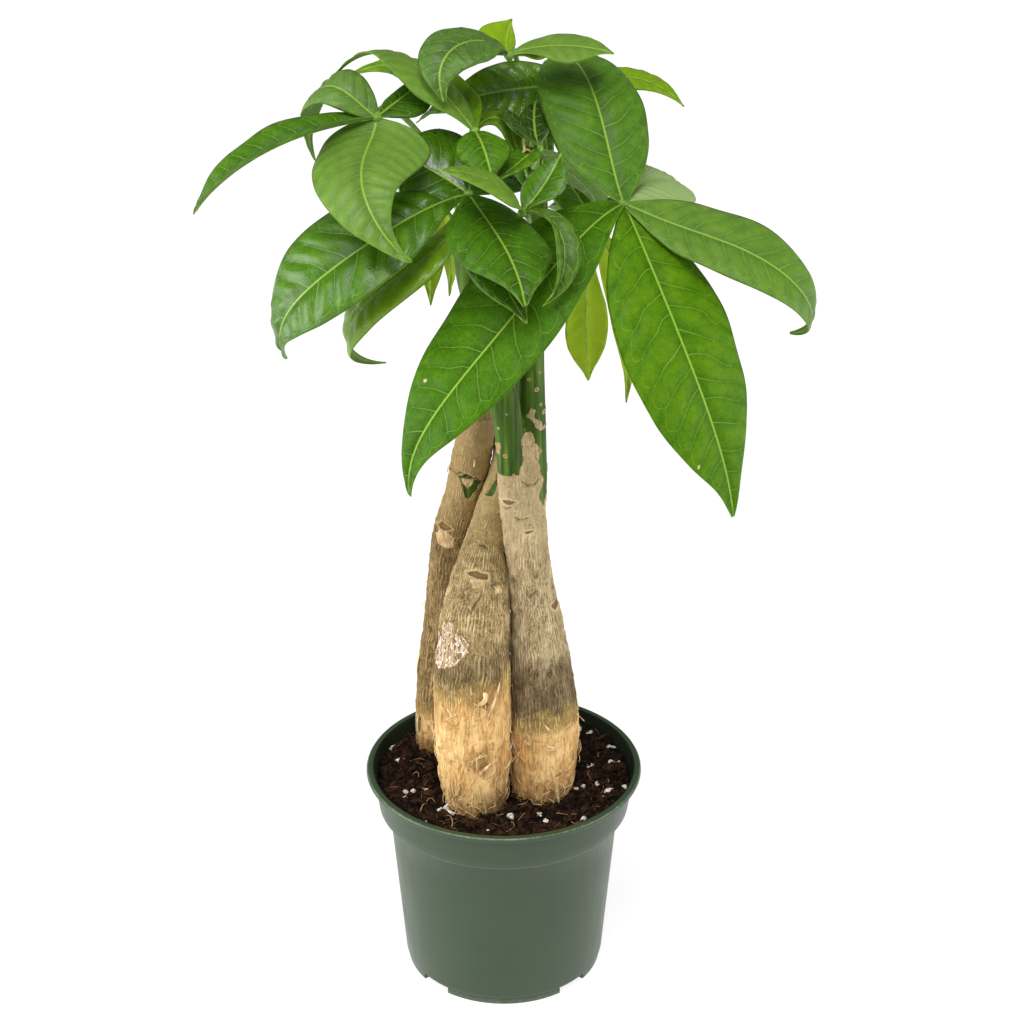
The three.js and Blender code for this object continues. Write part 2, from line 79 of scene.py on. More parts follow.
def smoothThrough(xs, ys, x):
    # a curve through the table that never overshoots between two of its points
    xs = np.asarray(xs, float)
    ys = np.asarray(ys, float)
    gap = np.diff(xs)
    rise = np.diff(ys) / gap
    slope = np.empty(len(xs))
    slope[0] = rise[0]
    slope[-1] = rise[-1]
    both = rise[:-1] * rise[1:]
    total = rise[:-1] + rise[1:]
    total = np.where(np.abs(total) < 1e-9, 1e-9, total)
    slope[1:-1] = np.where(both > 0, 2 * both / total, 0)
    i = np.clip(np.searchsorted(xs, x, side="right") - 1, 0, len(gap) - 1)
    s = np.clip((x - xs[i]) / gap[i], 0, 1)
    return (
        ys[i] * (2 * s ** 3 - 3 * s ** 2 + 1) + gap[i] * slope[i] * (s ** 3 - 2 * s ** 2 + s)
        + ys[i + 1] * (3 * s ** 2 - 2 * s ** 3) + gap[i] * slope[i + 1] * (s ** 3 - s ** 2)
    )


def curveThrough(points):
    # the curve through all the points, spaced along it by their distance
    points = np.asarray(points, float)
    steps = np.linalg.norm(np.diff(points, axis=0), axis=1)
    knots = np.concatenate([[0], np.cumsum(steps)])

    def at(t):
        place = np.atleast_1d(t)[:, None] * knots[-1]
        work = [np.repeat(p[None], len(place), 0) for p in points]
        for level in range(1, len(points)):
            for i in range(len(points) - level):
                share = (place - knots[i]) / (knots[i + level] - knots[i])
                work[i] = work[i] + (work[i + 1] - work[i]) * share
        return work[0]

    return at, knots[-1]


# Meshes
def meshPiece(name, points, faces, edges=()):
    mesh = bpy.data.meshes.new(name)
    mesh.from_pydata((np.asarray(points, float) * mm).tolist(), list(edges), faces)
    mesh.polygons.foreach_set("use_smooth", [True] * len(mesh.polygons))
    piece = bpy.data.objects.new(name, mesh)
    studio.collection.objects.link(piece)
    return piece


def setValues(piece, name, values, domain="POINT"):
    layer = piece.data.attributes.new(name, "FLOAT", domain)
    layer.data.foreach_set("value", np.asarray(values, np.float32).ravel())


def pointsOf(piece, field="co"):
    flat = np.empty(len(piece.data.vertices) * 3)
    piece.data.vertices.foreach_get(field, flat)
    return flat.reshape(-1, 3)


def movePoints(piece, points):
    piece.data.vertices.foreach_set("co", np.asarray(points).ravel())
    piece.data.update()


def workedIn(piece):
    # the piece as a plain mesh, with its modifiers worked in and removed
    graph = bpy.context.evaluated_depsgraph_get()
    mesh = bpy.data.meshes.new_from_object(piece.evaluated_get(graph))
    piece.modifiers.clear()
    piece.data = mesh
    return piece


def joined(name, parts):
    first = parts[0]
    with bpy.context.temp_override(
        object=first, active_object=first, selected_objects=parts, selected_editable_objects=parts
    ):
        bpy.ops.object.join()
    first.name = name
    first.data.name = name
    return first


def smoothed(piece):
    piece.data.polygons.foreach_set("use_smooth", [True] * len(piece.data.polygons))


def coated(piece, material):
    piece.data.materials.clear()
    piece.data.materials.append(material)


def placed(name, data, spot=(0, 0, 0), turn=(0, 0, 0)):
    # a lamp or camera at a spot in millimetres, turned by degrees
    holder = bpy.data.objects.new(name, data)
    holder.location = [c * mm for c in spot]
    holder.rotation_euler = [math.radians(a) for a in turn]
    studio.collection.objects.link(holder)
    return holder


def discard(*parts):
    for part in parts:
        bpy.data.objects.remove(part)


def ringFaces(rows, sides):
    i, j = np.meshgrid(np.arange(rows - 1), np.arange(sides), indexing="ij")
    a = i * sides + j
    b = i * sides + (j + 1) % sides
    quads = np.stack([a, b, b + sides, a + sides], -1).reshape(-1, 4).tolist()
    low = rows * sides
    high = low + 1
    top = (rows - 1) * sides
    caps = [[low, (k + 1) % sides, k] for k in range(sides)]
    caps += [[high, top + k, top + (k + 1) % sides] for k in range(sides)]
    return quads + caps


def ringPiece(name, rings):
    rings = np.asarray(rings, float)
    rows, sides = rings.shape[:2]
    middles = [rings[0].mean(0), rings[-1].mean(0)]
    points = np.concatenate([rings.reshape(-1, 3), middles])
    return meshPiece(name, points, ringFaces(rows, sides))


def finishPiece(piece, slot, *nodes):
    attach(piece, "root")
    if nodes:
        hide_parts(*nodes)


# Shader nodes. They are added to the tree that was begun last.
begun = {}


def newMaterial(name):
    material = bpy.data.materials.new(name)
    material.use_nodes = True
    begun["tree"] = material.node_tree
    return material, material.node_tree.nodes["Principled BSDF"].inputs


def finished(shader, **parts):
    sockets = {
        "color": "Base Color", "rough": "Roughness", "gloss": "Specular IOR Level", "normal": "Normal",
    }
    for part, value in parts.items():
        put(shader[sockets[part]], value)


def put(socket, value):
    if isinstance(value, bpy.types.NodeSocket):
        begun["tree"].links.new(value, socket)
    elif isinstance(value, (tuple, list)) and len(value) == 3 and socket.type == "RGBA":
        socket.default_value = (*value, 1)
    else:
        socket.default_value = value


def addNode(kind, inputs=None, **settings):
    node = begun["tree"].nodes.new(kind)
    for key, value in settings.items():
        setattr(node, key, value)
    for key, value in (inputs or {}).items():
        put(node.inputs[key], value)
    return node


def mathNode(operation):
    def work(*values):
        node = addNode("ShaderNodeMath", operation=operation)
        for i, value in enumerate(values):
            put(node.inputs[i], value)
        return node.outputs[0]

    return work


plus, minus, times, over = [mathNode(name) for name in ("ADD", "SUBTRACT", "MULTIPLY", "DIVIDE")]
larger, sized, fraction, sine = [mathNode(name) for name in ("MAXIMUM", "ABSOLUTE", "FRACT", "SINE")]


def step(value, low, high, start=0.0, end=1.0):
    # an eased step from start to end while the value goes from low to high
    sockets = {"Value": value, "From Min": low, "From Max": high, "To Min": start, "To Max": end}
    return addNode("ShaderNodeMapRange", sockets, interpolation_type="SMOOTHSTEP").outputs[0]


def blend(share, a, b):
    return addNode("ShaderNodeMix", {0: share, 6: a, 7: b}, data_type="RGBA").outputs[2]


def layered(color, *layers):
    # colours laid over each other, each with the share that it covers
    for share, top in layers:
        color = blend(share, color, top)
    return color


def blendValue(share, a, b):
    return addNode("ShaderNodeMix", {0: share, 2: a, 3: b}, data_type="FLOAT").outputs[0]


def attribute(name, output="Fac"):
    return addNode("ShaderNodeAttribute", attribute_name=name).outputs[output]


def noise(place, size, detail=2.0, rough=0.5, output="Fac"):
    # size is the lump's size in millimetres
    sockets = {"Vector": place, "Scale": 1 / (size * mm), "Detail": detail, "Roughness": rough}
    return addNode("ShaderNodeTexNoise", sockets).outputs[output]


def ramp(value, *stops):
    node = addNode("ShaderNodeValToRGB", {0: value})
    marks = node.color_ramp.elements
    while len(marks) < len(stops):
        marks.new(0.5)
    for mark, (position, color) in zip(marks, stops):
        mark.position = position
        mark.color = (*color, 1)
    return node.outputs[0]


def objectPlace(scale=(1, 1, 1)):
    coords = addNode("ShaderNodeTexCoord").outputs["Object"]
    return addNode("ShaderNodeMapping", {"Vector": coords, "Scale": scale}).outputs[0]


def bump(height, depth, strength=1.0):
    # depth in millimetres for a height that goes from 0 to 1
    sockets = {"Height": height, "Distance": depth * mm, "Strength": strength}
    return addNode("ShaderNodeBump", sockets).outputs[0]


def paint(red, green, blue):
    # a screen colour, 0 to 255, as the linear colour that the shaders take
    values = [c / 255 for c in (red, green, blue)]
    return tuple(c / 12.92 if c < 0.04045 else ((c + 0.055) / 1.055) ** 2.4 for c in values)


# Geometry node trees
def newTree(name, sizes):
    tree = begun["tree"] = bpy.data.node_groups.new(name, "GeometryNodeTree")
    tree.interface.new_socket("Geometry", in_out="INPUT", socket_type="NodeSocketGeometry")
    tree.interface.new_socket("Geometry", in_out="OUTPUT", socket_type="NodeSocketGeometry")
    for label, kind in sizes.items():
        tree.interface.new_socket(label, in_out="INPUT", socket_type="NodeSocket" + kind)
    return tree, addNode("NodeGroupInput").outputs


def ended(tree, geometry, material):
    # real faces in the material, which every tree ends with
    real = addNode("GeometryNodeRealizeInstances", {"Geometry": geometry}).outputs[0]
    done = addNode("GeometryNodeSetMaterial", {"Geometry": real, "Material": material}).outputs[0]
    addNode("NodeGroupOutput", {0: done})
    return tree


def named(label):
    return addNode("GeometryNodeInputNamedAttribute", {"Name": label}, data_type="FLOAT").outputs[0]


def grown(piece, tree, sizes):
    # runs the tree on the piece with these sizes and keeps the result as its mesh
    modifier = piece.modifiers.new(tree.name, "NODES")
    modifier.node_group = tree
    sockets = {s.name: s.identifier for s in tree.interface.items_tree if s.in_out == "INPUT"}
    for label, value in sizes.items():
        modifier[sockets[label]] = value
    return workedIn(piece)


def tubeTree():
    # a round tube along each line of edges, as thick as its "thick" attribute says
    tree, given = newTree("tube along a line", {"Sides": "Int", "Material": "Material"})
    line = addNode("GeometryNodeMeshToCurve", {"Mesh": given["Geometry"]}).outputs[0]
    ring = {"Resolution": given["Sides"], "Radius": 1.0}
    ring = addNode("GeometryNodeCurvePrimitiveCircle", ring).outputs[0]
    skin = {"Curve": line, "Profile Curve": ring, "Scale": named("thick"), "Fill Caps": True}
    skin = addNode("GeometryNodeCurveToMesh", skin).outputs[0]
    smooth = addNode("GeometryNodeSetShadeSmooth", {"Geometry": skin}).outputs[0]
    return ended(tree, smooth, given["Material"])


def scatterTree():
    # copies of a shape, turned and sized at random, over the faces whose "open" value is 1
    tree, given = newTree("scatter on a surface", {
        "Shape": "Object", "Per square metre": "Float", "Smallest": "Float", "Largest": "Float",
        "Tumble": "Float", "Seed": "Int", "Material": "Material",
    })
    chosen = addNode("FunctionNodeCompare", {"A": named("open"), "B": 0.5}, operation="GREATER_THAN")
    spots = addNode("GeometryNodeDistributePointsOnFaces", {
        "Mesh": given["Geometry"], "Selection": chosen.outputs[0],
        "Density": given["Per square metre"], "Seed": given["Seed"],
    }).outputs
    size = addNode("FunctionNodeRandomValue", {
        2: given["Smallest"], 3: given["Largest"], "Seed": given["Seed"],
    }, data_type="FLOAT").outputs[1]
    lean = addNode("ShaderNodeCombineXYZ", {0: given["Tumble"], 1: given["Tumble"], 2: math.pi}).outputs[0]
    back = addNode("ShaderNodeVectorMath", {0: lean, "Scale": -1.0}, operation="SCALE").outputs[0]
    turn = {0: back, 1: lean, "Seed": given["Seed"]}
    turn = addNode("FunctionNodeRandomValue", turn, data_type="FLOAT_VECTOR").outputs[0]
    turn = addNode("FunctionNodeEulerToRotation", {0: turn}).outputs[0]
    way = {"Rotation": spots["Rotation"], "Rotate By": turn}
    way = addNode("FunctionNodeRotateRotation", way, rotation_space="LOCAL").outputs[0]
    shape = addNode("GeometryNodeObjectInfo", {"Object": given["Shape"]}).outputs["Geometry"]
    copies = addNode("GeometryNodeInstanceOnPoints", {
        "Points": spots["Points"], "Instance": shape, "Rotation": way, "Scale": size,
    }).outputs[0]
    return ended(tree, copies, given["Material"])


tubes = tubeTree()
scatter = scatterTree()


def tubePiece(name, lines, material, sides=10):
    # lines: a list of (points, radii) in millimetres
    points = []
    edges = []
    thick = []
    for path, radii in lines:
        first = len(points)
        points.extend(np.asarray(path, float).tolist())
        thick.extend((np.asarray(radii, float) * mm).tolist())
        edges.extend((first + k, first + k + 1) for k in range(len(path) - 1))
    piece = meshPiece(name, points, [], edges)
    setValues(piece, "thick", thick)
    return grown(piece, tubes, {"Sides": sides, "Material": material})


def plainMaterial(name, dark, pale, size, rough, tall=(1, 1, 1)):
    material, shader = newMaterial(name)
    spots = noise(objectPlace(tall), size, 3, 0.6)
    color = ramp(spots, (0.35, dark), (0.65, pale))
    finished(shader, color=color, rough=rough, gloss=0.15, normal=bump(spots, 0.3, 0.6))
    return material


# The camera stands where the photograph was taken.
view = {"place": (4.8, -1194, 875), "down": 26, "lens": 84.375, "sensor": 36}


def makeCamera():
    camera = bpy.data.cameras.new("camera")
    camera.lens = view["lens"]
    camera.sensor_width = view["sensor"]
    camera.clip_start = 0.05
    camera.clip_end = 60
    studio.camera = placed("camera", camera, view["place"], (90 - view["down"], 0, 0))


# A white studio: a pale floor, an even sky and a broad soft key from the upper left.
light = {
    "floor": 24000, "floorShade": 0.24, "floorGlow": 0.86, "sky": 0.24,
    "key": 1.9, "keySpread": 55, "keyTilt": (32, 0, -24),
    # panels that face the plant's middle: place, size and power
    "aim": (0, 0, 300),
    "panels": [((0, -900, 1600), 420, 7), ((-1500, -300, 500), 900, 16), ((1500, -300, 500), 900, 9)],
}


def makeStudio():
    half = light["floor"] / 2
    corners = [(-half, -half, 0), (half, -half, 0), (half, half, 0), (-half, half, 0)]
    floor = meshPiece("floor", corners, [[0, 1, 2, 3]])
    material, shader = newMaterial("white floor")
    finished(shader, color=(light["floorShade"],) * 3, rough=0.9, gloss=0.1)
    put(shader["Emission Color"], (1, 1, 1))
    put(shader["Emission Strength"], light["floorGlow"])
    floor.data.materials.append(material)
    sky = bpy.data.worlds.new("studio")
    sky.use_nodes = True
    glow = sky.node_tree.nodes["Background"].inputs
    put(glow["Color"], (1, 1, 1))
    put(glow["Strength"], light["sky"])
    studio.world = sky
    key = bpy.data.lights.new("key", "SUN")
    key.energy = light["key"]
    key.angle = math.radians(light["keySpread"])
    placed("key", key, turn=light["keyTilt"])
    for i, (place, size, power) in enumerate(light["panels"]):
        lamp = bpy.data.lights.new(f"panel {i}", "AREA")
        lamp.size = size * mm
        lamp.energy = power
        aim = unit(np.subtract(light["aim"], place))
        pitch = math.degrees(math.acos(-aim[2]))
        placed(lamp.name, lamp, place, (pitch, 0, math.degrees(math.atan2(aim[1], aim[0])) - 90))
    studio.view_settings.view_transform = "Standard"


makeCamera()
makeStudio()
print("studio ready")


# The pot: a turned shell with four feet and drain holes.
pot = {
    "height": 130, "rim": 80, "lip": 4, "lipDepth": 3.2, "bandTop": 76, "bandLow": 73, "bandDepth": 25,
    "bodyTop": 67.2, "bodyLow": 58.8, "wall": 1.7, "foot": 4.5, "footOuter": 57.5, "footInner": 51,
    "footHalf": 35, "drain": 5, "drainCircle": 34, "sides": 144,
    # heights, and how far out the middle of the wall is there
    "middle": ([6, 104.5, 105.5, 126.5, 130], [57.8, 66.3, 72.2, 75, 76.2]),
    # the green, its worn tone, painted shade for the inside wall, and rubbed corners that also carry a
    # painted highlight
    "green": paint(47, 66, 41), "worn": paint(69, 86, 59), "shadeInside": paint(14, 18, 9),
    "scuffAndHighlight": paint(150, 166, 134), "scuffAndHighlightEdges": [(79.6, 129.5, 0.55), (72.5, 105.2, 0.6), (57.5, 0.3, 0.4)],
}


def turnedPiece(name, profile, sides):
    profile = np.asarray(profile, float)
    angle = np.arange(sides) * 2 * math.pi / sides
    rings = np.stack([
        profile[:, 0:1] * np.cos(angle), profile[:, 0:1] * np.sin(angle),
        np.repeat(profile[:, 1:2], sides, 1),
    ], -1)
    return ringPiece(name, rings)


def potProfile():
    p = pot
    low = p["height"] - p["bandDepth"]
    foot = p["foot"]
    w = p["wall"]
    top = p["height"]
    lipLow = top - p["lipDepth"]
    body = p["bodyLow"]
    bodyTop = p["bodyTop"]
    band = p["bandLow"]
    bandTop = p["bandTop"]
    rim = p["rim"]
    lipIn = rim - p["lip"]
    footOut = p["footOuter"]
    floorTop = foot + 2
    outside = [
        (0.5, foot), (footOut - 3, foot), (footOut - 1.5, foot - 0.9), (footOut, foot - 0.4),
        (body - 0.5, foot + 0.6), (body - 0.1, foot + 1.3), (body + 0.1, foot + 2.4),
    ]
    # the body widens evenly up to the step under the band
    for share in (0.2, 0.4, 0.6, 0.8):
        outside.append((body + (bodyTop - body) * share, foot + 2 + (low - 2.4 - foot) * share))
    outside += [
        (bodyTop, low - 0.6), (bodyTop + 0.3, low - 0.2), (bodyTop + 0.8, low), (band - 1.3, low),
        (band - 0.5, low + 0.2), (band, low + 1),
    ]
    for share in (0.25, 0.5, 0.75):
        outside.append((band + (bandTop - band) * share, low + 1 + (lipLow - low - 1) * share))
    outside += [
        (bandTop, lipLow - 0.2), (bandTop + 0.4, lipLow), (rim - 1.2, lipLow + 0.1),
        (rim - 0.4, lipLow + 0.4), (rim, lipLow + 1.1), (rim - 0.1, top - 1.1), (rim - 0.5, top - 0.4),
        (rim - 1.2, top), (lipIn + 0.6, top), (lipIn - 0.2, top - 0.2), (bandTop - w + 0.6, top - 1.4),
    ]
    inside = [
        (band - w, low + 2.2), (band - w - 0.5, low + 1.7), (bodyTop - w + 0.6, low + 1.6),
        (bodyTop - w, low), (body - w, floorTop + 1.5), (body - w - 0.5, floorTop + 0.4),
        (body - w - 1.5, floorTop), (0.5, floorTop),
    ]
    return outside + inside


def boolean(piece, other, operation):
    cut = piece.modifiers.new(operation, "BOOLEAN")
    cut.operation = operation
    cut.solver = "MANIFOLD"
    cut.object = other
    return other


def potMaterial():
    material, shader = newMaterial("pot plastic")
    place = objectPlace()
    cloud = noise(place, 40, 3)
    drag = noise(objectPlace((1, 1, 0.06)), 3.5, 3)
    dust = noise(place, 0.5, 2)
    # painted shade darkens the wall inside, and the corners are rubbed pale in patches with a painted
    # highlight line along them
    inside = times(attribute("inside"), step(cloud, 0.3, 0.6, 0.95, 0.8))
    # along the corners an unbroken pale line is painted highlight, and the noise patches over it are wear
    wearAndHighlight = larger(step(drag, 0.52, 0.6, 0.16, 0.4), step(dust, 0.6, 0.66, 0, 0.9))
    color = layered(
        pot["green"], (step(cloud, 0.3, 0.75, 0, 0.2), pot["worn"]), (inside, pot["shadeInside"]),
        (times(attribute("corner"), wearAndHighlight), pot["scuffAndHighlight"]),
    )
    rough = plus(step(cloud, 0.3, 0.7, 0.33, 0.40), step(drag, 0.4, 0.7, 0, 0.05))
    height = plus(times(drag, 0.4), times(dust, 0.35))
    finished(shader, color=color, rough=blendValue(inside, rough, 0.85),
             gloss=blendValue(inside, 0.5, 0.1), normal=bump(height, 0.06, 0.5))
    return material


def makePot():
    shell = turnedPiece("pot shell", potProfile(), pot["sides"])
    helpers = []
    inner = pot["footInner"]
    outer = pot["footOuter"]
    high = pot["foot"] + 1
    section = [(inner, high), (outer, high), (outer, 0.6), (outer - 0.5, 0), (inner, 0)]
    for facing in (-90, 0, 90, 180):
        angles = np.radians(np.linspace(facing - pot["footHalf"], facing + pot["footHalf"], 21))
        rings = [[(r * math.cos(a), r * math.sin(a), z) for r, z in section] for a in angles]
        foot = ringPiece("foot", rings)
        helpers.append(boolean(shell, foot, "UNION"))
    turn = np.arange(20) * 2 * math.pi / 20
    for i in range(6):
        a = math.radians(60 * i)
        x, y = np.array([math.cos(a), math.sin(a)]) * pot["drainCircle"]
        size = pot["drain"]
        rings = [[(x + size * math.cos(t), y + size * math.sin(t), z) for t in turn] for z in (-2, 12)]
        drill = ringPiece("drill", rings)
        helpers.append(boolean(shell, drill, "DIFFERENCE"))
    workedIn(shell)
    discard(*helpers)
    shell.name = "nursery_pot"
    points = pointsOf(shell) / mm
    far = np.hypot(points[:, 0], points[:, 1])
    isInside = (far < np.interp(points[:, 2], *pot["middle"])) & (points[:, 2] > pot["foot"] + 1)
    setValues(shell, "inside", isInside)
    # the rim, band and foot edges, rubbed and given a painted highlight line
    corner = np.zeros(len(points))
    for r, z, reach in pot["scuffAndHighlightEdges"]:
        away = np.hypot(far - r, points[:, 2] - z)
        corner = np.maximum(corner, np.clip(1.3 - away / reach, 0, 1))
    setValues(shell, "corner", corner)
    coated(shell, potMaterial())
    smoothed(shell)
    shell.data.set_sharp_from_angle(angle=math.radians(40))
    finishPiece(shell, "pot_plastic", "pot")


makePot()
print("pot ready")


# Trunks and shoots: x, y, z and radius along each axis.
trunkRows = {
    "left": [
        [-33, 32, 74, 11.5], [-35.5, 33.5, 100, 12.4], [-38.5, 35.5, 122, 13.6],
        [-38.2, 35, 145, 14], [-36.7, 33, 180, 13],
        [-33.6, 30, 221, 11.8], [-30, 25, 262, 11], [-22.6, 20, 291, 11], [-16.5, 17, 324, 11],
        [-14, 17.5, 345, 10.6],
    ],
    "front": [
        [-17, -27, 74, 15], [-15.6, -28, 112, 16.8], [-15.8, -27, 128, 18.6], [-16.8, -26, 150, 21],
        [-17.8, -25.5, 175, 22.2], [-17.8, -25, 196, 21.8], [-15.6, -21, 234, 19.4],
        [-12, -12, 259, 16], [-8.4, -3, 275, 13.2], [-2.4, 7, 295, 11.4],
        [1.4, 12, 309, 10.2], [4.2, 17, 324, 9.6],
    ],
    "right": [
        [22, -14, 74, 15], [21.4, -15, 112, 16.6], [22.2, -15, 128, 18], [23.6, -15, 143, 19.4],
        [23.2, -15, 169, 19], [21.8, -14.5, 195, 17.6], [18.2, -14, 233, 14.9],
        [14.2, -13.5, 266, 12.3], [11.8, -13, 288, 12.2], [10.8, -12.6, 305, 11.8],
        [10.2, -12, 319, 10.4], [9.6, -11.6, 334, 7.6], [9.2, -11.4, 350, 4],
    ],
}
shootRows = {
    "left": [
        [-14.5, 17, 335, 9.4], [-13.6, 18, 352, 8], [-13.4, 20, 380, 7.2], [-15, 23, 408, 6.4],
        [-18, 26, 432, 5],
    ],
    "back": [
        [3, 15, 314, 8.8], [3, 23, 334, 8.5], [5, 28, 352, 7.6], [17, 30, 386, 5.6],
        [21, 31, 410, 4.4],
    ],
    "front": [
        [7, -15, 298, 8.6], [4.6, -16.5, 321, 8], [3.4, -17.5, 345, 8.3], [1.1, -18, 366, 8.6],
        [-2.4, -17, 386, 8.7], [-9, -14, 408, 8.5], [-15.4, -11, 428, 8.2], [-19.4, -8, 451, 7.4],
        [-20.5, -6, 466, 6],
    ],
    "right": [
        [14.5, -9, 296, 8.4], [15.8, -7.4, 318, 8.6], [15.4, -6, 340, 8.6], [14.6, -4, 367, 8.5],
        [14, -2, 395, 8.3], [16.6, -0.5, 430, 7.6], [18.6, 0.5, 455, 6.4], [18.6, 0, 478, 4.8],
        [17, -2, 496, 3.4],
    ],
}
trunkPlan = {
    "right": {"seed": 3, "shoots": ["front", "right"], "cutters": [], "cell": 0.77},
    "front": {"seed": 2, "shoots": ["back"], "cutters": ["right"], "cell": 0.7},
    "left": {"seed": 1, "shoots": ["left"], "cutters": ["right", "front"], "cell": 0.7},
}
bark = {"seat": 0.3, "soilTop": 122}


def swelling(seed, z, angle):
    slow = np.sin(z * 0.045 + seed * 2.1 + 1.5 * np.sin(angle + seed))
    quick = np.sin(z * 0.13 + 2 * angle + seed * 3.7)
    return 1 + 0.022 * slow + 0.012 * quick


def stemAt(rows, z):
    # the axis and the radius of a stem at each height
    rows = np.asarray(rows, float)
    z = np.clip(z, rows[0, 2], rows[-1, 2])
    return [smoothThrough(rows[:, 2], rows[:, k], z) for k in (0, 1, 3)]


def stemPiece(name, rows, seed=0, extra=0.0, rise=2.5, sides=40):
    count = int((rows[-1][2] - rows[0][2]) / rise) + 2
    z = np.linspace(rows[0][2], rows[-1][2], count)
    x, y, radius = stemAt(rows, z)
    axis = np.stack([x, y, z], -1)
    along = unit(np.gradient(axis, axis=0))
    side = unit(np.array([1.0, 0, 0]) - along * along[:, 0:1])
    front = np.cross(along, side)
    angle = np.arange(sides) * 2 * math.pi / sides
    size = radius[:, None] * (swelling(seed, z[:, None], angle[None]) if seed else 1) + extra
    rings = axis[:, None] + size[..., None] * (
        side[:, None] * np.cos(angle)[None, :, None] + front[:, None] * np.sin(angle)[None, :, None]
    )
    return ringPiece(name, rings)


def stemsOf(name):
    plan = trunkPlan[name]
    return [(trunkRows[name], plan["seed"])] + [(shootRows[s], 0) for s in plan["shoots"]]


def rawTrunk(name):
    parts = [stemPiece(f"stem {i}", rows, seed) for i, (rows, seed) in enumerate(stemsOf(name))]
    piece = joined(f"trunk {name}", parts)
    skin = piece.modifiers.new("one skin", "REMESH")
    skin.mode = "VOXEL"
    skin.voxel_size = trunkPlan[name]["cell"] * mm
    workedIn(piece)
    helpers = []
    for other in trunkPlan[name]["cutters"]:
        for rows, seed in stemsOf(other):
            cutter = stemPiece("cutter", rows, seed, bark["seat"])
            helpers.append(boolean(piece, cutter, "DIFFERENCE"))
    if helpers:
        workedIn(piece)
        discard(*helpers)
    return piece


# What marks each trunk. Outlines and lines are x and z on the side that faces the viewer.
trunkMarks = {
    "left": {
        "ridges": 44, "bareTop": 150, "bareRise": 0, "bareSoft": 12,
        "bandLow": 60, "bandHigh": 62, "greenTop": 362, "greenRag": 3.0,
        "green": [[(-25, 311), (-20, 313), (-12.5, 307), (-15, 302), (-19, 297), (-21, 298), (-23, 305)]],
        "tan": [],
        "torn": [],
        "flake": [
            [(-38, 271), (-35, 275), (-30.5, 274), (-28, 270), (-28, 263), (-31, 264), (-36.5, 265)],
            [(-23.5, 310), (-20, 311), (-16, 309), (-17, 307), (-19.5, 303), (-21.5, 306)],
        ],
        "pit": [
            [(-36.5, 276.5), (-33.5, 275), (-29, 276), (-30.5, 277.5), (-34.5, 279)],
            [(-51.5, 132), (-49.5, 136), (-49.7, 144), (-51.5, 141)],
            [(-23.5, 311), (-20, 312), (-17, 310), (-20, 309.5)],
        ],
        "lines": [[(-30, 312), (-24.5, 312.5), (-17.5, 311), (-12, 307), (-9, 305)]],
        "pores": [(-17, 330, 0.7), (-20, 336, 0.7), (-14, 341, 0.6), (-22, 325, 0.6)],
    },
    "front": {
        "ridges": 66, "bareTop": 203, "bareRise": 5, "bareSoft": 15,
        "bandLow": 203, "bandHigh": 228, "greenTop": 345, "greenRag": 0.7,
        "green": [[(-10, 302), (-4, 311), (0, 326), (0, 316), (-6, 303)]],
        "tan": [],
        "torn": [
            [(-34, 234), (-30, 242), (-27.5, 241), (-28, 238), (-23, 236), (-18.5, 232), (-18.5, 229),
             (-22, 225), (-26.5, 219), (-34, 214), (-37, 213), (-38, 219), (-37.5, 228)],
        ],
        "flake": [
            [(-18.5, 264), (-14, 264.5), (-10.5, 264), (-10.5, 260.5), (-16.5, 261)],
            [(-5, 260), (-1.5, 260), (-1, 256), (-4.7, 256.5)],
        ],
        "pit": [[(-20, 267), (-15, 268.3), (-8.5, 266.5), (-8.5, 264.5), (-13.5, 265), (-18, 266)]],
        "lines": [[(-12, 257), (-16, 252), (-18, 248)], [(-14, 280), (-9, 279)], [(-11, 199), (-8, 194)]],
        "pores": [(-13, 272, 0.8), (-15, 288, 0.6), (-8, 190, 0.9), (-27, 200, 0.8)],
    },
    "right": {
        "ridges": 58, "bareTop": 174, "bareRise": 6, "bareSoft": 13,
        "bandLow": 176, "bandHigh": 214, "greenTop": 326, "greenRag": 0.7,
        "green": [[(19.7, 334), (25, 334), (25, 313), (22.3, 305), (20.7, 309), (19.6, 313), (21.4, 316),
                   (22.2, 319), (20.4, 322), (19.5, 327)]],
        "tan": [
            [(11, 356), (13.5, 358), (15, 361), (17.2, 359.5), (16.4, 355), (20.3, 353), (23.5, 348),
             (20.3, 346.5), (17.6, 350), (15.3, 354)],
            [(9.3, 346), (12.6, 348), (16.5, 346), (17, 341), (21.3, 336), (19.5, 334), (19.5, 328),
             (20.4, 322), (22, 319), (21.4, 315), (18, 310), (9, 318), (9.5, 328), (11, 334),
             (10.7, 342)],
            [(-4.4, 344), (-2, 345), (-1.4, 341), (-2.7, 338), (-4.4, 338)],
        ],
        "torn": [],
        "flake": [[(10.3, 292), (16.2, 292), (15.5, 290), (13.3, 288.7), (11, 289.6)]],
        "pit": [
            [(-1, 310), (3.3, 311), (7.3, 310), (3.5, 308.6), (0, 308.4)],
            [(10, 293), (16.4, 293), (13.3, 291.8)],
            [(27, 246), (29.3, 247.5), (31, 244), (29.3, 242.5)],
        ],
        "lines": [
            [(-0.5, 305), (2.7, 306), (6, 309)], [(10, 321), (13, 319.5), (17, 319), (19, 321)],
            [(30, 141), (34, 143), (37.5, 140)], [(6, 301), (10, 300), (14, 301)],
        ],
        "pores": [
            (18.1, 371, 1.3), (13.7, 377, 1.1), (1.9, 363, 0.7), (-2.7, 354, 0.8), (1.1, 338, 1.3),
            (5.8, 326.5, 0.8), (20.6, 362, 0.9), (22.6, 357, 1.3), (20, 380, 0.8), (8.5, 279, 0.9),
            (16, 266, 0.6), (9, 251, 0.9),
        ],
    },
}


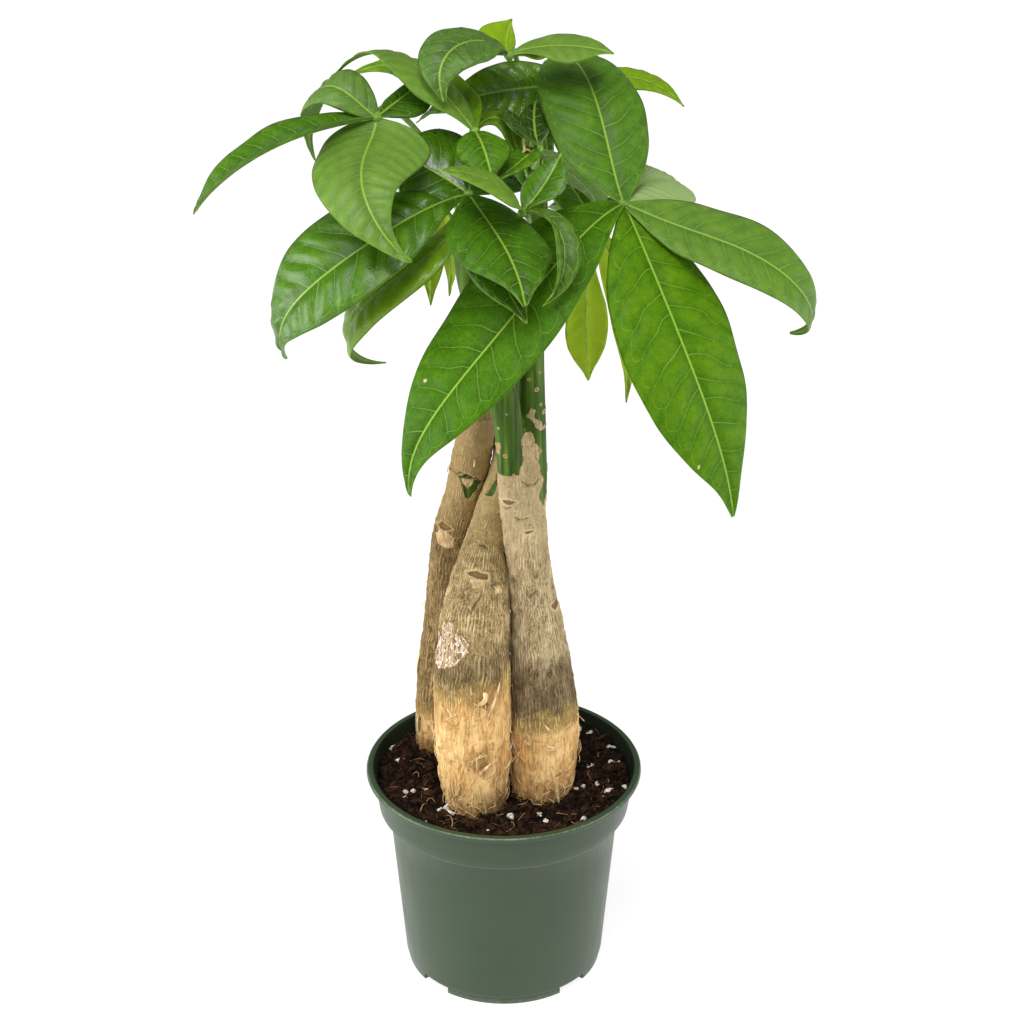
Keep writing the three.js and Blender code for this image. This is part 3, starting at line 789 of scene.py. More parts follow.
def surfacePlace(name, points):
    # for each point: the stem it lies on, its angle round it and its distance outside it
    best = None
    for i, (rows, seed) in enumerate(stemsOf(name)):
        x, y, radius = stemAt(rows, points[:, 2])
        angle = np.arctan2(points[:, 1] - y, points[:, 0] - x)
        size = radius * (swelling(seed, points[:, 2], angle) if seed else 1)
        out = np.hypot(points[:, 0] - x, points[:, 1] - y) - size
        beyond = np.maximum(rows[0][2] - points[:, 2], points[:, 2] - rows[-1][2])
        miss = np.abs(out) + np.maximum(beyond, 0) * 2
        row = np.stack([np.full(len(points), float(i)), angle, out, miss], -1)
        best = row if best is None else np.where((miss < best[:, 3])[:, None], row, best)
    return best[:, 0].astype(int), best[:, 1], best[:, 2]


def toLines(corners, x, z, closed):
    # distance from the nearest side of an outline, or from a line
    nearest = np.full(len(x), 99.0)
    ends = corners[1:] + corners[:1] if closed else corners[1:]
    for (ax, az), (bx, bz) in zip(corners, ends):
        length = (bx - ax) ** 2 + (bz - az) ** 2
        share = np.clip(((x - ax) * (bx - ax) + (z - az) * (bz - az)) / length, 0, 1)
        away = np.hypot(x - ax - share * (bx - ax), z - az - share * (bz - az))
        nearest = np.minimum(nearest, away)
    return nearest


def inOutlines(outlines, x, z):
    # millimetres inside the nearest outline, negative outside
    deepest = np.full(len(x), -30.0)
    for corners in outlines:
        inside = np.zeros(len(x), bool)
        for (ax, az), (bx, bz) in zip(corners, corners[1:] + corners[:1]):
            if az == bz:
                continue
            crossing = ((az > z) != (bz > z)) & (x < ax + (bx - ax) * (z - az) / (bz - az))
            inside ^= crossing
        away = toLines(corners, x, z, True)
        deepest = np.maximum(deepest, np.where(inside, away, -away))
    return deepest


# How high each kind of mark stands on the bark, in millimetres.
relief = {
    "ridge": 0.62, "smoothRidge": 0.36, "lumps": 0.5, "cracks": 0.16, "ribs": 0.22, "plate": 0.5,
    "bareSink": 0.45, "greenSink": 0.3, "sink": 0.25, "flakeEdge": 0.4, "flakeSink": 0.15,
    "tornEdge": 0.55, "tornSink": 0.5, "pitSink": 1.0, "edge": 0.35, "line": 0.6, "poreSink": 0.5,
}


def rimmed(distance, middle, width):
    return np.exp(-((distance - middle) / width) ** 2)


def barkRelief(name, piece):
    marks = trunkMarks[name]
    points = pointsOf(piece) / mm
    normals = pointsOf(piece, "normal")
    x, z = points[:, 0], points[:, 2]
    stem, angle, out = surfacePlace(name, points)
    facing = normals[:, 1] < 0.3
    seed = trunkPlan[name]["seed"] * 10

    def rough(size, number):
        return noiseAt(points, size, seed + number)

    def marked(kind, ragged=1.0):
        return np.where(facing, inOutlines(marks[kind], x, z) + jag * ragged, -30.0)

    rag = rough((5, 5, 9), 0) + 0.5 * rough((2, 2, 4), 1)
    jag = 0.8 * rough((1.7, 1.7, 2.4), 8)
    top = marks["bareTop"] + marks["bareRise"] * np.cos(angle + math.radians(20))
    bare = (top - z + rag * 5) / marks["bareSoft"]
    torn = marked("torn", 1.2)
    flake = marked("flake")
    green = z - marks["greenTop"] + rag * marks["greenRag"]
    green = np.maximum(green, marked("green", 0.6))
    green = np.minimum(green, -np.maximum(marked("tan"), flake))
    pit = marked("pit", 0.4)
    line = np.full(len(points), 30.0)
    for corners in marks["lines"]:
        line = np.minimum(line, toLines(corners, x + jag * 0.8, z + jag, False))
    line = np.where(facing, line, 30.0)
    pore = np.full(len(points), -1.0)
    for px, pz, size in marks["pores"]:
        pore = np.maximum(pore, 1 - np.hypot(x - px, z - pz) / size)
    pore = np.where(facing, pore, -1.0)
    band = easeIn(marks["bandLow"] - 10, marks["bandLow"] + 6, z + rag * 4)
    band *= 1 - easeIn(marks["bandHigh"] - 16, marks["bandHigh"] + 14, z + rag * 6)
    isGreen = easeIn(-0.5, 0.5, green)
    isBare = easeIn(-0.6, 0.9, bare)
    old = 1 - isGreen
    # wavy upright ridges, fewer on the shoots
    count = np.where(stem == 0, marks["ridges"], 26)
    sway = 3.2 * rough((7, 7, 11), 11) + 2.2 * rough((3, 3, 4.5), 13)
    ridge = (0.5 + 0.5 * np.sin(angle * count + sway)) ** 2
    ridge *= 0.6 + 0.7 * rough((4, 4, 5.5), 14)
    ridge += 0.35 * rimmed(rough((2.6, 2.6, 6), 4), 0, 0.2)
    smooth = easeIn(262, 312, z + rag * 4)
    # ragged flakes lie on the bare wood
    plate = rough((3.2, 3.2, 9), 15) + 0.5 * rough((1.4, 1.4, 4), 16)
    r = relief
    height = (r["ridge"] - r["smoothRidge"] * smooth) * ridge * old * (1 - 0.4 * isBare)
    height += r["lumps"] * rough((9, 9, 14), 5) * (1 - 0.6 * isGreen) * (1 + 0.6 * isBare)
    height += r["cracks"] * rough((6, 6, 1.8), 6) * old * (1 - isBare) * (1 + smooth)
    height += r["ribs"] * isGreen * rough((3.2, 3.2, 60), 12)
    height += r["plate"] * isBare * easeIn(0.12, 0.26, plate)
    height += -r["bareSink"] * isBare - r["greenSink"] * isGreen - r["sink"]
    height += r["flakeEdge"] * rimmed(flake, 0.2, 0.7) - r["flakeSink"] * easeIn(0.4, 1.2, flake)
    height += r["tornEdge"] * rimmed(torn, -0.2, 0.8) - r["tornSink"] * easeIn(0.3, 1.4, torn)
    height += -r["pitSink"] * easeIn(-0.5, 0.9, pit) + r["edge"] * rimmed(pit, -1.3, 0.7)
    height += -r["line"] * rimmed(line, 0, 0.6) + r["edge"] * rimmed(line, 1.6, 0.8)
    height += r["edge"] * easeIn(-0.2, 0.4, pore) - r["poreSink"] * easeIn(0.4, 0.8, pore)
    height = height * easeIn(-1.6, -0.5, out) * easeIn(bark["soilTop"] - 8, bark["soilTop"], z)
    movePoints(piece, (points + normals * height[:, None]) * mm)
    for label, values in {
        "green": green, "bare": bare, "torn": torn, "flake": flake, "pit": pit, "line": line,
        "pore": pore, "band": band, "ridge": ridge, "smooth": smooth, "plate": plate,
        "low": easeIn(137, 122, z + rag * 6),
    }.items():
        setValues(piece, label, values)


# each trunk's dark, middle and pale bark, and the paler top, which also carries painted light
barkLooks = {
    "left": {"dark": paint(66, 50, 27), "mid": paint(122, 98, 58), "pale": paint(190, 164, 114),
             "youngAndLit": paint(192, 162, 112)},
    "front": {"dark": paint(84, 66, 38), "mid": paint(148, 123, 80), "pale": paint(226, 202, 152),
              "youngAndLit": paint(196, 172, 116)},
    "right": {"dark": paint(88, 71, 47), "mid": paint(162, 139, 99), "pale": paint(226, 206, 166),
              "youngAndLit": paint(204, 180, 136)},
}
barkPaints = {
    "skinDark": paint(34, 60, 5), "skinMid": paint(64, 95, 9), "skinPale": paint(112, 144, 36),
    "woodDark": paint(128, 86, 40), "woodTan": paint(172, 136, 84), "woodOrange": paint(216, 166, 102),
    "woodCream": paint(250, 212, 146), "bandDark": paint(40, 29, 16), "bandPale": paint(96, 76, 48),
    "edgeDark": paint(150, 122, 68), "edgePale": paint(206, 180, 118), "stain": paint(98, 72, 42),
    "flakeDark": paint(184, 148, 104), "flakePale": paint(232, 202, 156), "flakeWorn": paint(168, 130, 90),
    "tornDark": paint(132, 98, 60), "tornPale": paint(204, 178, 142), "tornWeb": paint(252, 246, 234),
    # the crease and pit rim colours are painted shade
    "tornRim": paint(138, 100, 60), "creaseShade": paint(74, 54, 30), "pitRimShade": paint(92, 68, 40),
    "pitFloor": paint(146, 118, 74), "poreRing": paint(204, 172, 120), "poreHole": paint(96, 62, 38),
}


def barkMaterial(name):
    look = barkLooks[name]
    ink = barkPaints
    material, shader = newMaterial(f"bark {name}")
    place = objectPlace()
    streak = noise(objectPlace((1, 1, 0.16)), 1.3, 4, 0.62)
    wide = noise(objectPlace((1, 1, 0.4)), 8, 3)
    fine = noise(place, 0.7, 3, 0.6)
    broad = noise(place, 16, 3)
    speckle = minus(fine, 0.5)
    # thin pale lines in the noise, and a painted highlight on the ridge tops of the relief
    thin = noise(objectPlace((1, 1, 0.2)), 1.2, 2, 0.5)
    thin = step(sized(minus(thin, 0.5)), 0.008, 0.05, 1, 0)
    ridge = attribute("ridge")
    lines = larger(times(thin, 0.55), step(ridge, 0.42, 0.85, 0, 0.85))
    # painted shade in the furrows between the ridges
    valleyShade = step(ridge, 0.03, 0.17, 0.75, 0)
    tone = plus(times(streak, 0.6), times(wide, 0.4))
    dots = addNode("ShaderNodeTexVoronoi", {"Vector": place, "Scale": 260.0}).outputs["Distance"]
    old = layered(
        ramp(tone, (0.30, look["dark"]), (0.5, look["mid"]), (0.72, look["pale"])),
        (step(broad, 0.35, 0.7, 0.2, 0.6), look["mid"]), (valleyShade, look["dark"]), (lines, look["pale"]),
        # the smoother bark near the top is paler, and painted lighter as well against the shade of the
        # leaves
        (times(attribute("smooth"), 0.5), look["youngAndLit"]),
        (times(step(dots, 0.10, 0.17, 0.85, 0), step(broad, 0.4, 0.6)), look["dark"]),
    )
    # the dark band above the bare wood
    dusk = ramp(streak, (0.35, ink["bandDark"]), (0.65, ink["bandPale"]))
    dusk = blend(times(lines, 0.35), dusk, look["mid"])
    banded = blend(times(attribute("band"), step(wide, 0.25, 0.7, 0.95, 0.6)), old, dusk)
    # bare wood: tan, orange and cream clouds under fine fibres and ragged flakes; the flakes are painted
    # paler, partly as a highlight, with painted shade round their edges and in the furrows
    cloud = noise(objectPlace((1, 1, 0.6)), 13, 3)
    furrowShade = times(valleyShade, step(streak, 0.35, 0.6, 1, 0.2))
    plate = plus(attribute("plate"), times(speckle, 0.25))
    under = times(step(plate, 0.0, 0.08, 0, 1), step(plate, 0.11, 0.18, 1, 0))
    under = times(under, step(fine, 0.35, 0.65, 0.1, 0.6))
    wood = layered(
        ramp(cloud, (0.36, ink["woodTan"]), (0.5, ink["woodOrange"]), (0.66, ink["woodCream"])),
        (times(lines, 0.5), ink["woodCream"]), (times(furrowShade, 0.5), ink["woodDark"]),
        (step(plate, 0.16, 0.3, 0, 0.4), ink["woodCream"]),
        (larger(under, step(streak, 0.34, 0.5, 0.45, 0)), ink["woodDark"]),
    )
    edge = plus(plus(attribute("bare"), times(speckle, 0.5)), times(lines, 0.25))
    stain = times(attribute("low"), step(fine, 0.3, 0.7, 0.95, 0.4))
    # scars
    flaky = plus(attribute("flake"), speckle)
    scale = blend(step(streak, 0.35, 0.65), ink["flakeDark"], ink["flakePale"])
    torn = plus(attribute("torn"), times(speckle, 2.5))
    web = noise(objectPlace((1, 1, 0.5)), 2.4, 1, 0.5)
    web = step(sized(minus(web, 0.5)), 0.01, 0.035, 1, 0)
    fibre = blend(step(streak, 0.4, 0.6), ink["tornDark"], ink["tornPale"])
    fibre = blend(web, fibre, ink["tornWeb"])
    pit = attribute("pit")
    # green skin of the young shoots
    ribs = noise(objectPlace((1, 1, 0.02)), 2.6, 2)
    skin = ramp(ribs, (0.32, ink["skinDark"]), (0.5, ink["skinMid"]), (0.8, ink["skinPale"]))
    skin = blend(step(broad, 0.4, 0.75, 0, 0.5), skin, ink["skinMid"])
    isGreen = step(plus(attribute("green"), times(speckle, 1.2)), -0.2, 0.2)
    pore = attribute("pore")
    color = layered(
        banded, (step(edge, -0.55, 0.15), blend(lines, ink["edgeDark"], ink["edgePale"])),
        (step(edge, 0.05, 0.85), wood), (stain, ink["stain"]),
        (step(flaky, -0.3, 0.3, 0, 0.9), scale), (step(flaky, 1.2, 2.6, 0, 0.4), ink["flakeWorn"]),
        (step(torn, -1.1, -0.8, 0, 0.9), ink["tornRim"]), (step(torn, -0.3, 0.2), fibre),
        # painted shade in the crease lines and at the rims of the pits, which include the grooves just
        # above the flakes
        (step(attribute("line"), 0.1, 0.8, 0.7, 0), ink["creaseShade"]),
        (step(pit, -1.8, -0.8, 0, 0.6), look["pale"]), (step(pit, -0.5, 0.1, 0, 0.85), ink["pitRimShade"]),
        (step(pit, 0.2, 0.8, 0, 0.75), ink["pitFloor"]), (isGreen, skin),
        (step(pore, -0.1, 0.15, 0, 0.9), ink["poreRing"]), (step(pore, 0.4, 0.6, 0, 0.9), ink["poreHole"]),
    )
    height = plus(plus(times(streak, 0.5), times(fine, 0.35)), times(lines, 0.35))
    height = times(height, blendValue(isGreen, 1.0, 0.15))
    finished(shader, color=color, rough=blendValue(isGreen, 0.85, 0.5), gloss=0.2,
             normal=bump(height, 0.8, 0.8))
    return material


# Peeled strips and chips: the trunk, height and angle of one end and of the other, how far the
# start, middle and end stand off the bark, the width and the bend sideways.
peels = [
    ("front", 242, -146, 236, -152, 0.6, 1.0, 0.8, 1.5, 0),
    ("front", 258, -92, 246, -110, 0.3, 0.8, 0.2, 1.3, 0),
    ("front", 259, -106, 251, -121, 0.2, 0.7, 0.3, 1.0, 0),
    ("front", 254, -97, 249, -107, 0.2, 0.5, 0.3, 0.8, 0),
    ("front", 260, -60, 256, -57, 0.5, 0.9, 0.6, 2.8, 0),
    ("front", 190, -62, 208, -47, 0.2, 1.5, 0.9, 1.6, 0),
    ("front", 188, -66, 203, -52, 0.2, 1.1, 1.7, 1.2, 0),
    ("front", 196, -80, 204, -72, 0.2, 1.3, 0.4, 3.6, 2),
    ("front", 192, -128, 188, -119, 0.3, 2.4, 1.4, 1.3, 2),
    ("front", 143, -96, 163, -84, 0.2, 1.2, 0.7, 0.9, 1.5),
    ("front", 163, -84, 165, -70, 0.7, 1.6, 1.2, 0.7, 0),
    ("front", 150, -78, 158, -62, 0.2, 1.8, 0.6, 2.2, -2),
    ("front", 158, -62, 148, -66, 0.6, 1.4, 0.3, 1.8, 2),
    ("front", 144, -44, 158, -30, 0.2, 2.4, 3.8, 1.3, -1),
    ("front", 150, -38, 160, -22, 0.8, 3.6, 6.5, 0.9, 1),
    ("right", 165, -132, 163, -118, 0.3, 2.6, 0.8, 1.4, 3),
    ("right", 164, -98, 160, -86, 0.3, 3.0, 0.9, 1.4, 5),
    ("right", 176, -90, 172, -84, 0.2, 1.6, 0.4, 1.0, 1),
    ("right", 152, -84, 123, -62, 0.6, 2.4, 3.2, 2.0, 0),
    ("right", 176, -20, 170, -12, 0.2, 2.2, 3.6, 0.6, 0),
    ("left", 187, -164, 172, -166, 0.3, 1.0, 0.5, 2.0, 0),
    ("left", 146, -150, 133, -148, 0.2, 0.9, 0.3, 1.2, 0),
    ("left", 222, -172, 218, -178, 0.2, 0.9, 2.0, 0.9, 0),
    ("left", 236, -170, 234, -176, 0.2, 0.6, 1.2, 0.8, 0),
    ("left", 314, -168, 309, -178, 0.4, 1.4, 0.6, 2.0, 0),
    ("left", 322, -84, 317, -82, 0.1, 0.5, 0.2, 1.2, 0),
]
# Fine fibres over the bare wood, thickest in number near the soil.
fibres = {
    "seed": 7, "length": (5, 17), "radius": (0.16, 0.34), "off": 1.5, "sides": 5,
    "trunks": {"front": (90, 124, 200), "right": (64, 124, 174), "left": (12, 124, 150)},
}


def onBark(name, z, angle, off):
    rows, seed = stemsOf(name)[0]
    x, y, radius = stemAt(rows, z)
    size = radius * swelling(seed, z, angle) + off
    outward = np.stack([np.cos(angle), np.sin(angle), 0 * z], -1)
    return np.stack([x, y, z], -1) + outward * size[:, None], outward


def peelPiece(name, startZ, startAngle, endZ, endAngle, first, middle, last, width, sway):
    t = np.linspace(0, 1, 11)
    z = startZ + (endZ - startZ) * t
    angle = np.radians(startAngle + (endAngle - startAngle) * t) + sway * np.sin(math.pi * t) / 18
    off = first * (1 - t) * (1 - 2 * t) + 4 * middle * t * (1 - t) + last * t * (2 * t - 1)
    path, outward = onBark(name, z, angle, off)
    along = unit(np.gradient(path, axis=0))
    side = unit(np.cross(along, outward))
    up = np.cross(side, along)
    half = width / 2 * (0.35 + 0.65 * np.sin(math.pi * t) ** 0.5)
    section = [(1, 0), (0.5, 0.16), (-0.5, 0.16), (-1, 0), (-0.5, -0.16), (0.5, -0.16)]
    return ringPiece("peel", np.stack([path + side * (a * half)[:, None] + up * b for a, b in section], 1))


def fibreLines():
    chance = np.random.default_rng(fibres["seed"])
    lines = []
    for name, (count, low, high) in fibres["trunks"].items():
        for _ in range(count):
            t = np.linspace(0, 1, 9)
            length = chance.uniform(*fibres["length"])
            rise = chance.choice([-1, 1]) * chance.uniform(0.4, 1.0)
            start = low + (high - low) * chance.random() ** 1.5
            facing = math.radians(chance.uniform(-185, 5))
            bend = chance.uniform(-3.5, 3.5)
            curl = chance.uniform(-1.5, 1.5)
            z = np.clip(start + length * rise * t, low - 1, high + 6)
            sway = bend * np.sin(math.pi * t) + curl * np.sin(2 * math.pi * t)
            angle = facing + (sway + length * (1 - abs(rise)) * t) / 20
            off = fibres["off"] * chance.random() * (np.sin(math.pi * t) + chance.uniform(0, 0.8) * t)
            radius = chance.uniform(*fibres["radius"]) * (1 - 0.6 * t)
            lines.append((onBark(name, z, angle, off + 0.05)[0], radius))
    return lines


def makePeels():
    skin = plainMaterial("peeled bark", paint(186, 144, 88), paint(250, 226, 176), 3, 0.8, (1, 1, 0.3))
    peeled = joined("peeled_strips", [peelPiece(*peel) for peel in peels])
    coated(peeled, skin)
    smoothed(peeled)
    finishPiece(peeled, "bark")
    fine = tubePiece("bark_fibres", fibreLines(), skin, fibres["sides"])
    finishPiece(fine, "bark")
    print("fibres", len(fine.data.polygons), "faces")


def makeTrunks():
    for name in trunkPlan:
        piece = rawTrunk(name)
        barkRelief(name, piece)
        coated(piece, barkMaterial(name))
        smoothed(piece)
        piece.name = f"bark_{name}"
        finishPiece(piece, "bark", f"trunk_{name}")
        print("trunk", name, len(piece.data.polygons), "faces")


makeTrunks()
makePeels()


# The soil: a lumpy closed bed with peat crumbs, perlite and fibres on top.
soil = {
    "top": 122, "relief": 1.3, "seat": 0.3, "sides": 180, "rings": 56,
    # loose grains that are scattered over the bed
    "scatter": {
        "peat_crumbs": {
            "Per square metre": 130000.0, "Smallest": 0.5, "Largest": 1.9, "Tumble": 3.1, "Seed": 5,
        },
        "perlite_grains": {
            "Per square metre": 2400.0, "Smallest": 0.8, "Largest": 2.1, "Tumble": 3.1, "Seed": 8,
        },
        "peat_fibres": {
            "Per square metre": 6000.0, "Smallest": 0.6, "Largest": 1.5, "Tumble": 0.45, "Seed": 12,
        },
    },
    "clods": 230, "clodSize": (1.4, 3.6), "clodSeed": 23,
    # lumps of the bed: height, size and seed
    "lumps": [(2.1, 8, 41), (1.2, 3.5, 42), (0.4, 1.6, 43)],
    # larger white grains: x, y and half width
    "grains": [
        (-62, 12, 2.6), (-66, 27, 2.0), (-45, -18, 1.7), (4, -46, 1.6), (-9, -60, 1.4), (52, 44, 1.8),
        (51, 7, 1.9), (64, 30, 1.9), (61, -21, 2.3), (45, 52, 1.8), (-32, -36, 2.2), (-31, -42, 2.4),
        (20, -44, 1.8), (-64, -16, 1.3), (-57, -26, 1.5), (42, -18, 1.3), (54, -12, 1.2), (-36, -39, 1.6),
        (24, -50, 1.4), (58, -25, 1.6), (66, 12, 1.5),
    ],
    # rootlets: x and y from and to, the greatest distance, and circles round the trunks
    "rootlets": 30, "rootSeed": 19, "rootX": (-62, 66), "rootY": (-62, 30), "rootEdge": 66,
    "keepOff": [(-16, -27, 20), (22, -15, 19)],
}


def soilHeight(x, y):
    broad = np.sin(x * 0.11 + 1.3) * np.cos(y * 0.13 - 0.4)
    lumps = np.sin(x * 0.47 + y * 0.21) * np.sin(y * 0.53 - x * 0.17 + 2)
    return soil["top"] + soil["relief"] * (0.55 * broad + 0.65 * lumps)


def soilEdge():
    return pot["bandLow"] - (pot["wall"] + soil["seat"]) + 1.2


def soilMaterial():
    material, shader = newMaterial("peat mix")
    place = objectPlace()
    clod = noise(place, 3.5, 4, 0.6)
    grit = noise(place, 0.8, 3, 0.6)
    # dark peat, painted near-black in patches for the shade between the clods
    color = ramp(clod, (0.36, paint(6, 4, 2)), (0.54, paint(22, 14, 8)), (0.74, paint(56, 35, 21)))
    color = blend(step(grit, 0.64, 0.74, 0, 0.4), color, paint(92, 62, 40))
    finished(shader, color=color, rough=0.92, gloss=0.12, normal=bump(grit, 1.0, 0.9))
    return material


def lumpyBall(name, radius, detail, seed, squash=(1, 1, 1), rough=0.3):
    # an uneven grain, lifted by a quarter of its radius
    bpy.ops.mesh.primitive_ico_sphere_add(subdivisions=detail, radius=1)
    ball = bpy.context.object
    ball.name = name
    points = pointsOf(ball)
    points *= (1 + rough * noiseAt(points, 0.8, seed))[:, None]
    points = points * np.array(squash) * radius
    points[:, 2] += radius * 0.25
    movePoints(ball, points * mm)
    return ball


def grainAt(name, x, y, rise, size, detail, seed, squash, rough):
    # an uneven grain that lies on the mix
    grain = lumpyBall(name, size, detail, seed, squash, rough)
    z = float(soilHeight(np.array(x), np.array(y))) + rise
    movePoints(grain, pointsOf(grain) + np.array([x, y, z]) * mm)
    return grain


def heapPiece(name, grains, material):
    heap = joined(name, grains)
    coated(heap, material)
    finishPiece(heap, "potting_mix")
    return heap


def makeBed():
    low = pot["height"] - pot["bandDepth"]
    wall = pot["wall"] + soil["seat"]
    edge = soilEdge()
    floor = pot["foot"] + 2 + soil["seat"]
    outline = [
        (pot["bodyLow"] - wall - 2.2, floor), (pot["bodyLow"] - wall - 0.2, floor + 2.4),
        (pot["bodyTop"] - wall - 0.2, low + 2.4), (pot["bandLow"] - wall, low + 3),
        (edge, soil["top"] - 3),
    ]
    angle = np.arange(soil["sides"]) * 2 * math.pi / soil["sides"]
    circle = np.stack([np.cos(angle), np.sin(angle)], -1)
    rings = [np.concatenate([circle * r, np.full((len(circle), 1), z)], 1) for r, z in outline]
    for share in np.linspace(1, 0.02, soil["rings"]):
        flat = circle * edge * share
        spot = np.concatenate([flat, np.zeros((len(flat), 1))], 1)
        z = soilHeight(flat[:, 0], flat[:, 1])
        for height, size, seed in soil["lumps"]:
            z = z + height * noiseAt(spot, size, seed)
        z = z + 1.8 * easeIn(0.75, 1, share) - 1.0 * (share > 0.995)
        rings.append(np.concatenate([flat, z[:, None]], 1))
    bed = ringPiece("soil_bed", np.array(rings))
    cutters = []
    for name in trunkPlan:
        rows, seed = stemsOf(name)[0]
        cutters.append(boolean(bed, stemPiece("cutter", rows, seed, soil["seat"]), "DIFFERENCE"))
    workedIn(bed)
    discard(*cutters)
    coated(bed, soilMaterial())
    isTop = pointsOf(bed)[:, 2] / mm > soil["top"] - 2.9
    setValues(bed, "open", isTop & (pointsOf(bed, "normal")[:, 2] > 0.2))
    smoothed(bed)
    finishPiece(bed, "potting_mix", "soil")
    return bed


def scatterOver(bed, peat, white):
    straw = plainMaterial("peat fibres", paint(40, 24, 13), paint(128, 92, 58), 4, 0.85)
    shapes = {
        "peat_crumbs": (lumpyBall("crumb", 1, 1, 3, (1, 0.8, 0.7), 0.5), peat),
        "perlite_grains": (lumpyBall("grain", 1, 2, 4, (1, 0.85, 0.75), 0.35), white),
        "peat_fibres": (fibreShape(), straw),
    }
    for name, (shape, material) in shapes.items():
        layer = bed.copy()
        layer.data = bed.data.copy()
        studio.collection.objects.link(layer)
        grown(layer, scatter, {**soil["scatter"][name], "Shape": shape, "Material": material})
        layer.name = name
        discard(shape)
        finishPiece(layer, "potting_mix")
        print(name, len(layer.data.polygons), "faces")


def makeHeaps(peat, white):
    chance = np.random.default_rng(soil["clodSeed"])
    clods = []
    while len(clods) < soil["clods"]:
        size = chance.uniform(*soil["clodSize"])
        turn = chance.uniform(0, 2 * math.pi)
        far = (soilEdge() - size - 1) * math.sqrt(chance.uniform(0, 1))
        squash = (1, chance.uniform(0.6, 1), 0.65)
        x, y = far * math.cos(turn), far * math.sin(turn)
        clods.append(grainAt("clod", x, y, 0.4, size, 2, len(clods), squash, 0.9))
    heapPiece("peat_clods", clods, peat)
    large = [
        grainAt("grain", x, y, 0.5, size, 3, order, (1, 0.8, 0.75), 0.95)
        for order, (x, y, size) in enumerate(soil["grains"])
    ]
    smoothed(heapPiece("large_perlite", large, white))


def rootletLines():
    # thin curved roots that lie over the mix, most of them near the trunks
    chance = np.random.default_rng(soil["rootSeed"])
    lines = []
    while len(lines) < soil["rootlets"]:
        x = chance.uniform(*soil["rootX"])
        y = chance.uniform(*soil["rootY"])
        onTrunk = any(math.hypot(x - a, y - b) < reach for a, b, reach in soil["keepOff"])
        if onTrunk or math.hypot(x, y) > soil["rootEdge"]:
            continue
        t = np.linspace(0, 1, 9)
        turn = chance.uniform(0, 2 * math.pi) + chance.uniform(-2.5, 2.5) * t
        stride = chance.uniform(5, 15) / 8
        px = x + np.cumsum(np.cos(turn)) * stride
        py = y + np.cumsum(np.sin(turn)) * stride
        reach = np.maximum(1, np.hypot(px, py) / 68)
        px, py = px / reach, py / reach
        z = soilHeight(px, py) + 0.8 + chance.uniform(0.4, 3.2) * np.sin(math.pi * t)
        lines.append((np.stack([px, py, z], -1), chance.uniform(0.16, 0.36) * (1 - 0.5 * t)))
    return lines


def fibreShape():
    # one bent root fibre, about six millimetres long
    bend = np.linspace(-1, 1, 7)
    path = np.stack([bend * 3.2, 0.9 * np.sin(bend * 2.2), 0.5 + 0.5 * np.cos(bend * 2)], -1)
    return tubePiece("fibre", [(path, 0.10 + 0.09 * (1 - bend ** 2))], None, 4)


def makeSoil():
    bed = makeBed()
    # the crumbs run from near-black painted shade to brown peat
    peat = plainMaterial("peat crumbs", paint(6, 4, 2), paint(62, 39, 23), 4.5, 0.93)
    white = plainMaterial("perlite", paint(176, 166, 146), paint(240, 236, 226), 1.5, 0.75)
    scatterOver(bed, peat, white)
    makeHeaps(peat, white)
    pale = plainMaterial("rootlets", paint(84, 58, 36), paint(190, 156, 112), 6, 0.85)
    finishPiece(tubePiece("loose_rootlets", rootletLines(), pale, 5), "potting_mix")


makeSoil()
print("soil ready")


# The leaves: leaflets fan out from a hub at the end of each leaf stalk.
# A leaflet has its full width and its midrib from the hub to the tip. roll and twist turn it
# about the midrib, fold lifts its halves, bow droops its edges, skew moves its widest part,
# trim changes the width of one side from hub to tip, and gap parts its side veins.
outlineShare = {
    "station": [0, 0.08, 0.2, 0.34, 0.48, 0.63, 0.78, 0.9, 1],
    "width": [0.06, 0.28, 0.64, 0.93, 1, 0.9, 0.6, 0.25, 0.035],
}
leafShape = {
    "cell": 1.7, "thick": 0.7, "stalk": 1.5, "hub": 2.6, "rib": 0.62, "ribTip": 0.2,
    "veinLean": 0.45, "veinBend": 0.30, "veinGap": 10.5, "groove": 0.45, "near": 0.004,
    "lump": 0.5, "swing": 4.1, "wander": 0.24,
}
# tone and pale are matched per leaflet to how bright it looks, so along with its own colour they paint the
# light, shade and sheen that fall on it
leafletShape = {
    "roll": 0, "twist": 0, "fold": 10, "bow": 20, "skew": 1, "trim": (0, 1, 1), "gap": None,
    # fresh paints young yellow-green together with painted backlight through the blade
    "tone": 0.5, "shine": 0.4, "fresh": 0, "pale": 0, "pucker": 0.75, "wave": 0.7,
}


def leaflet(wide, *path, **shape):
    return {**leafletShape, "wide": wide, "path": path, **shape}


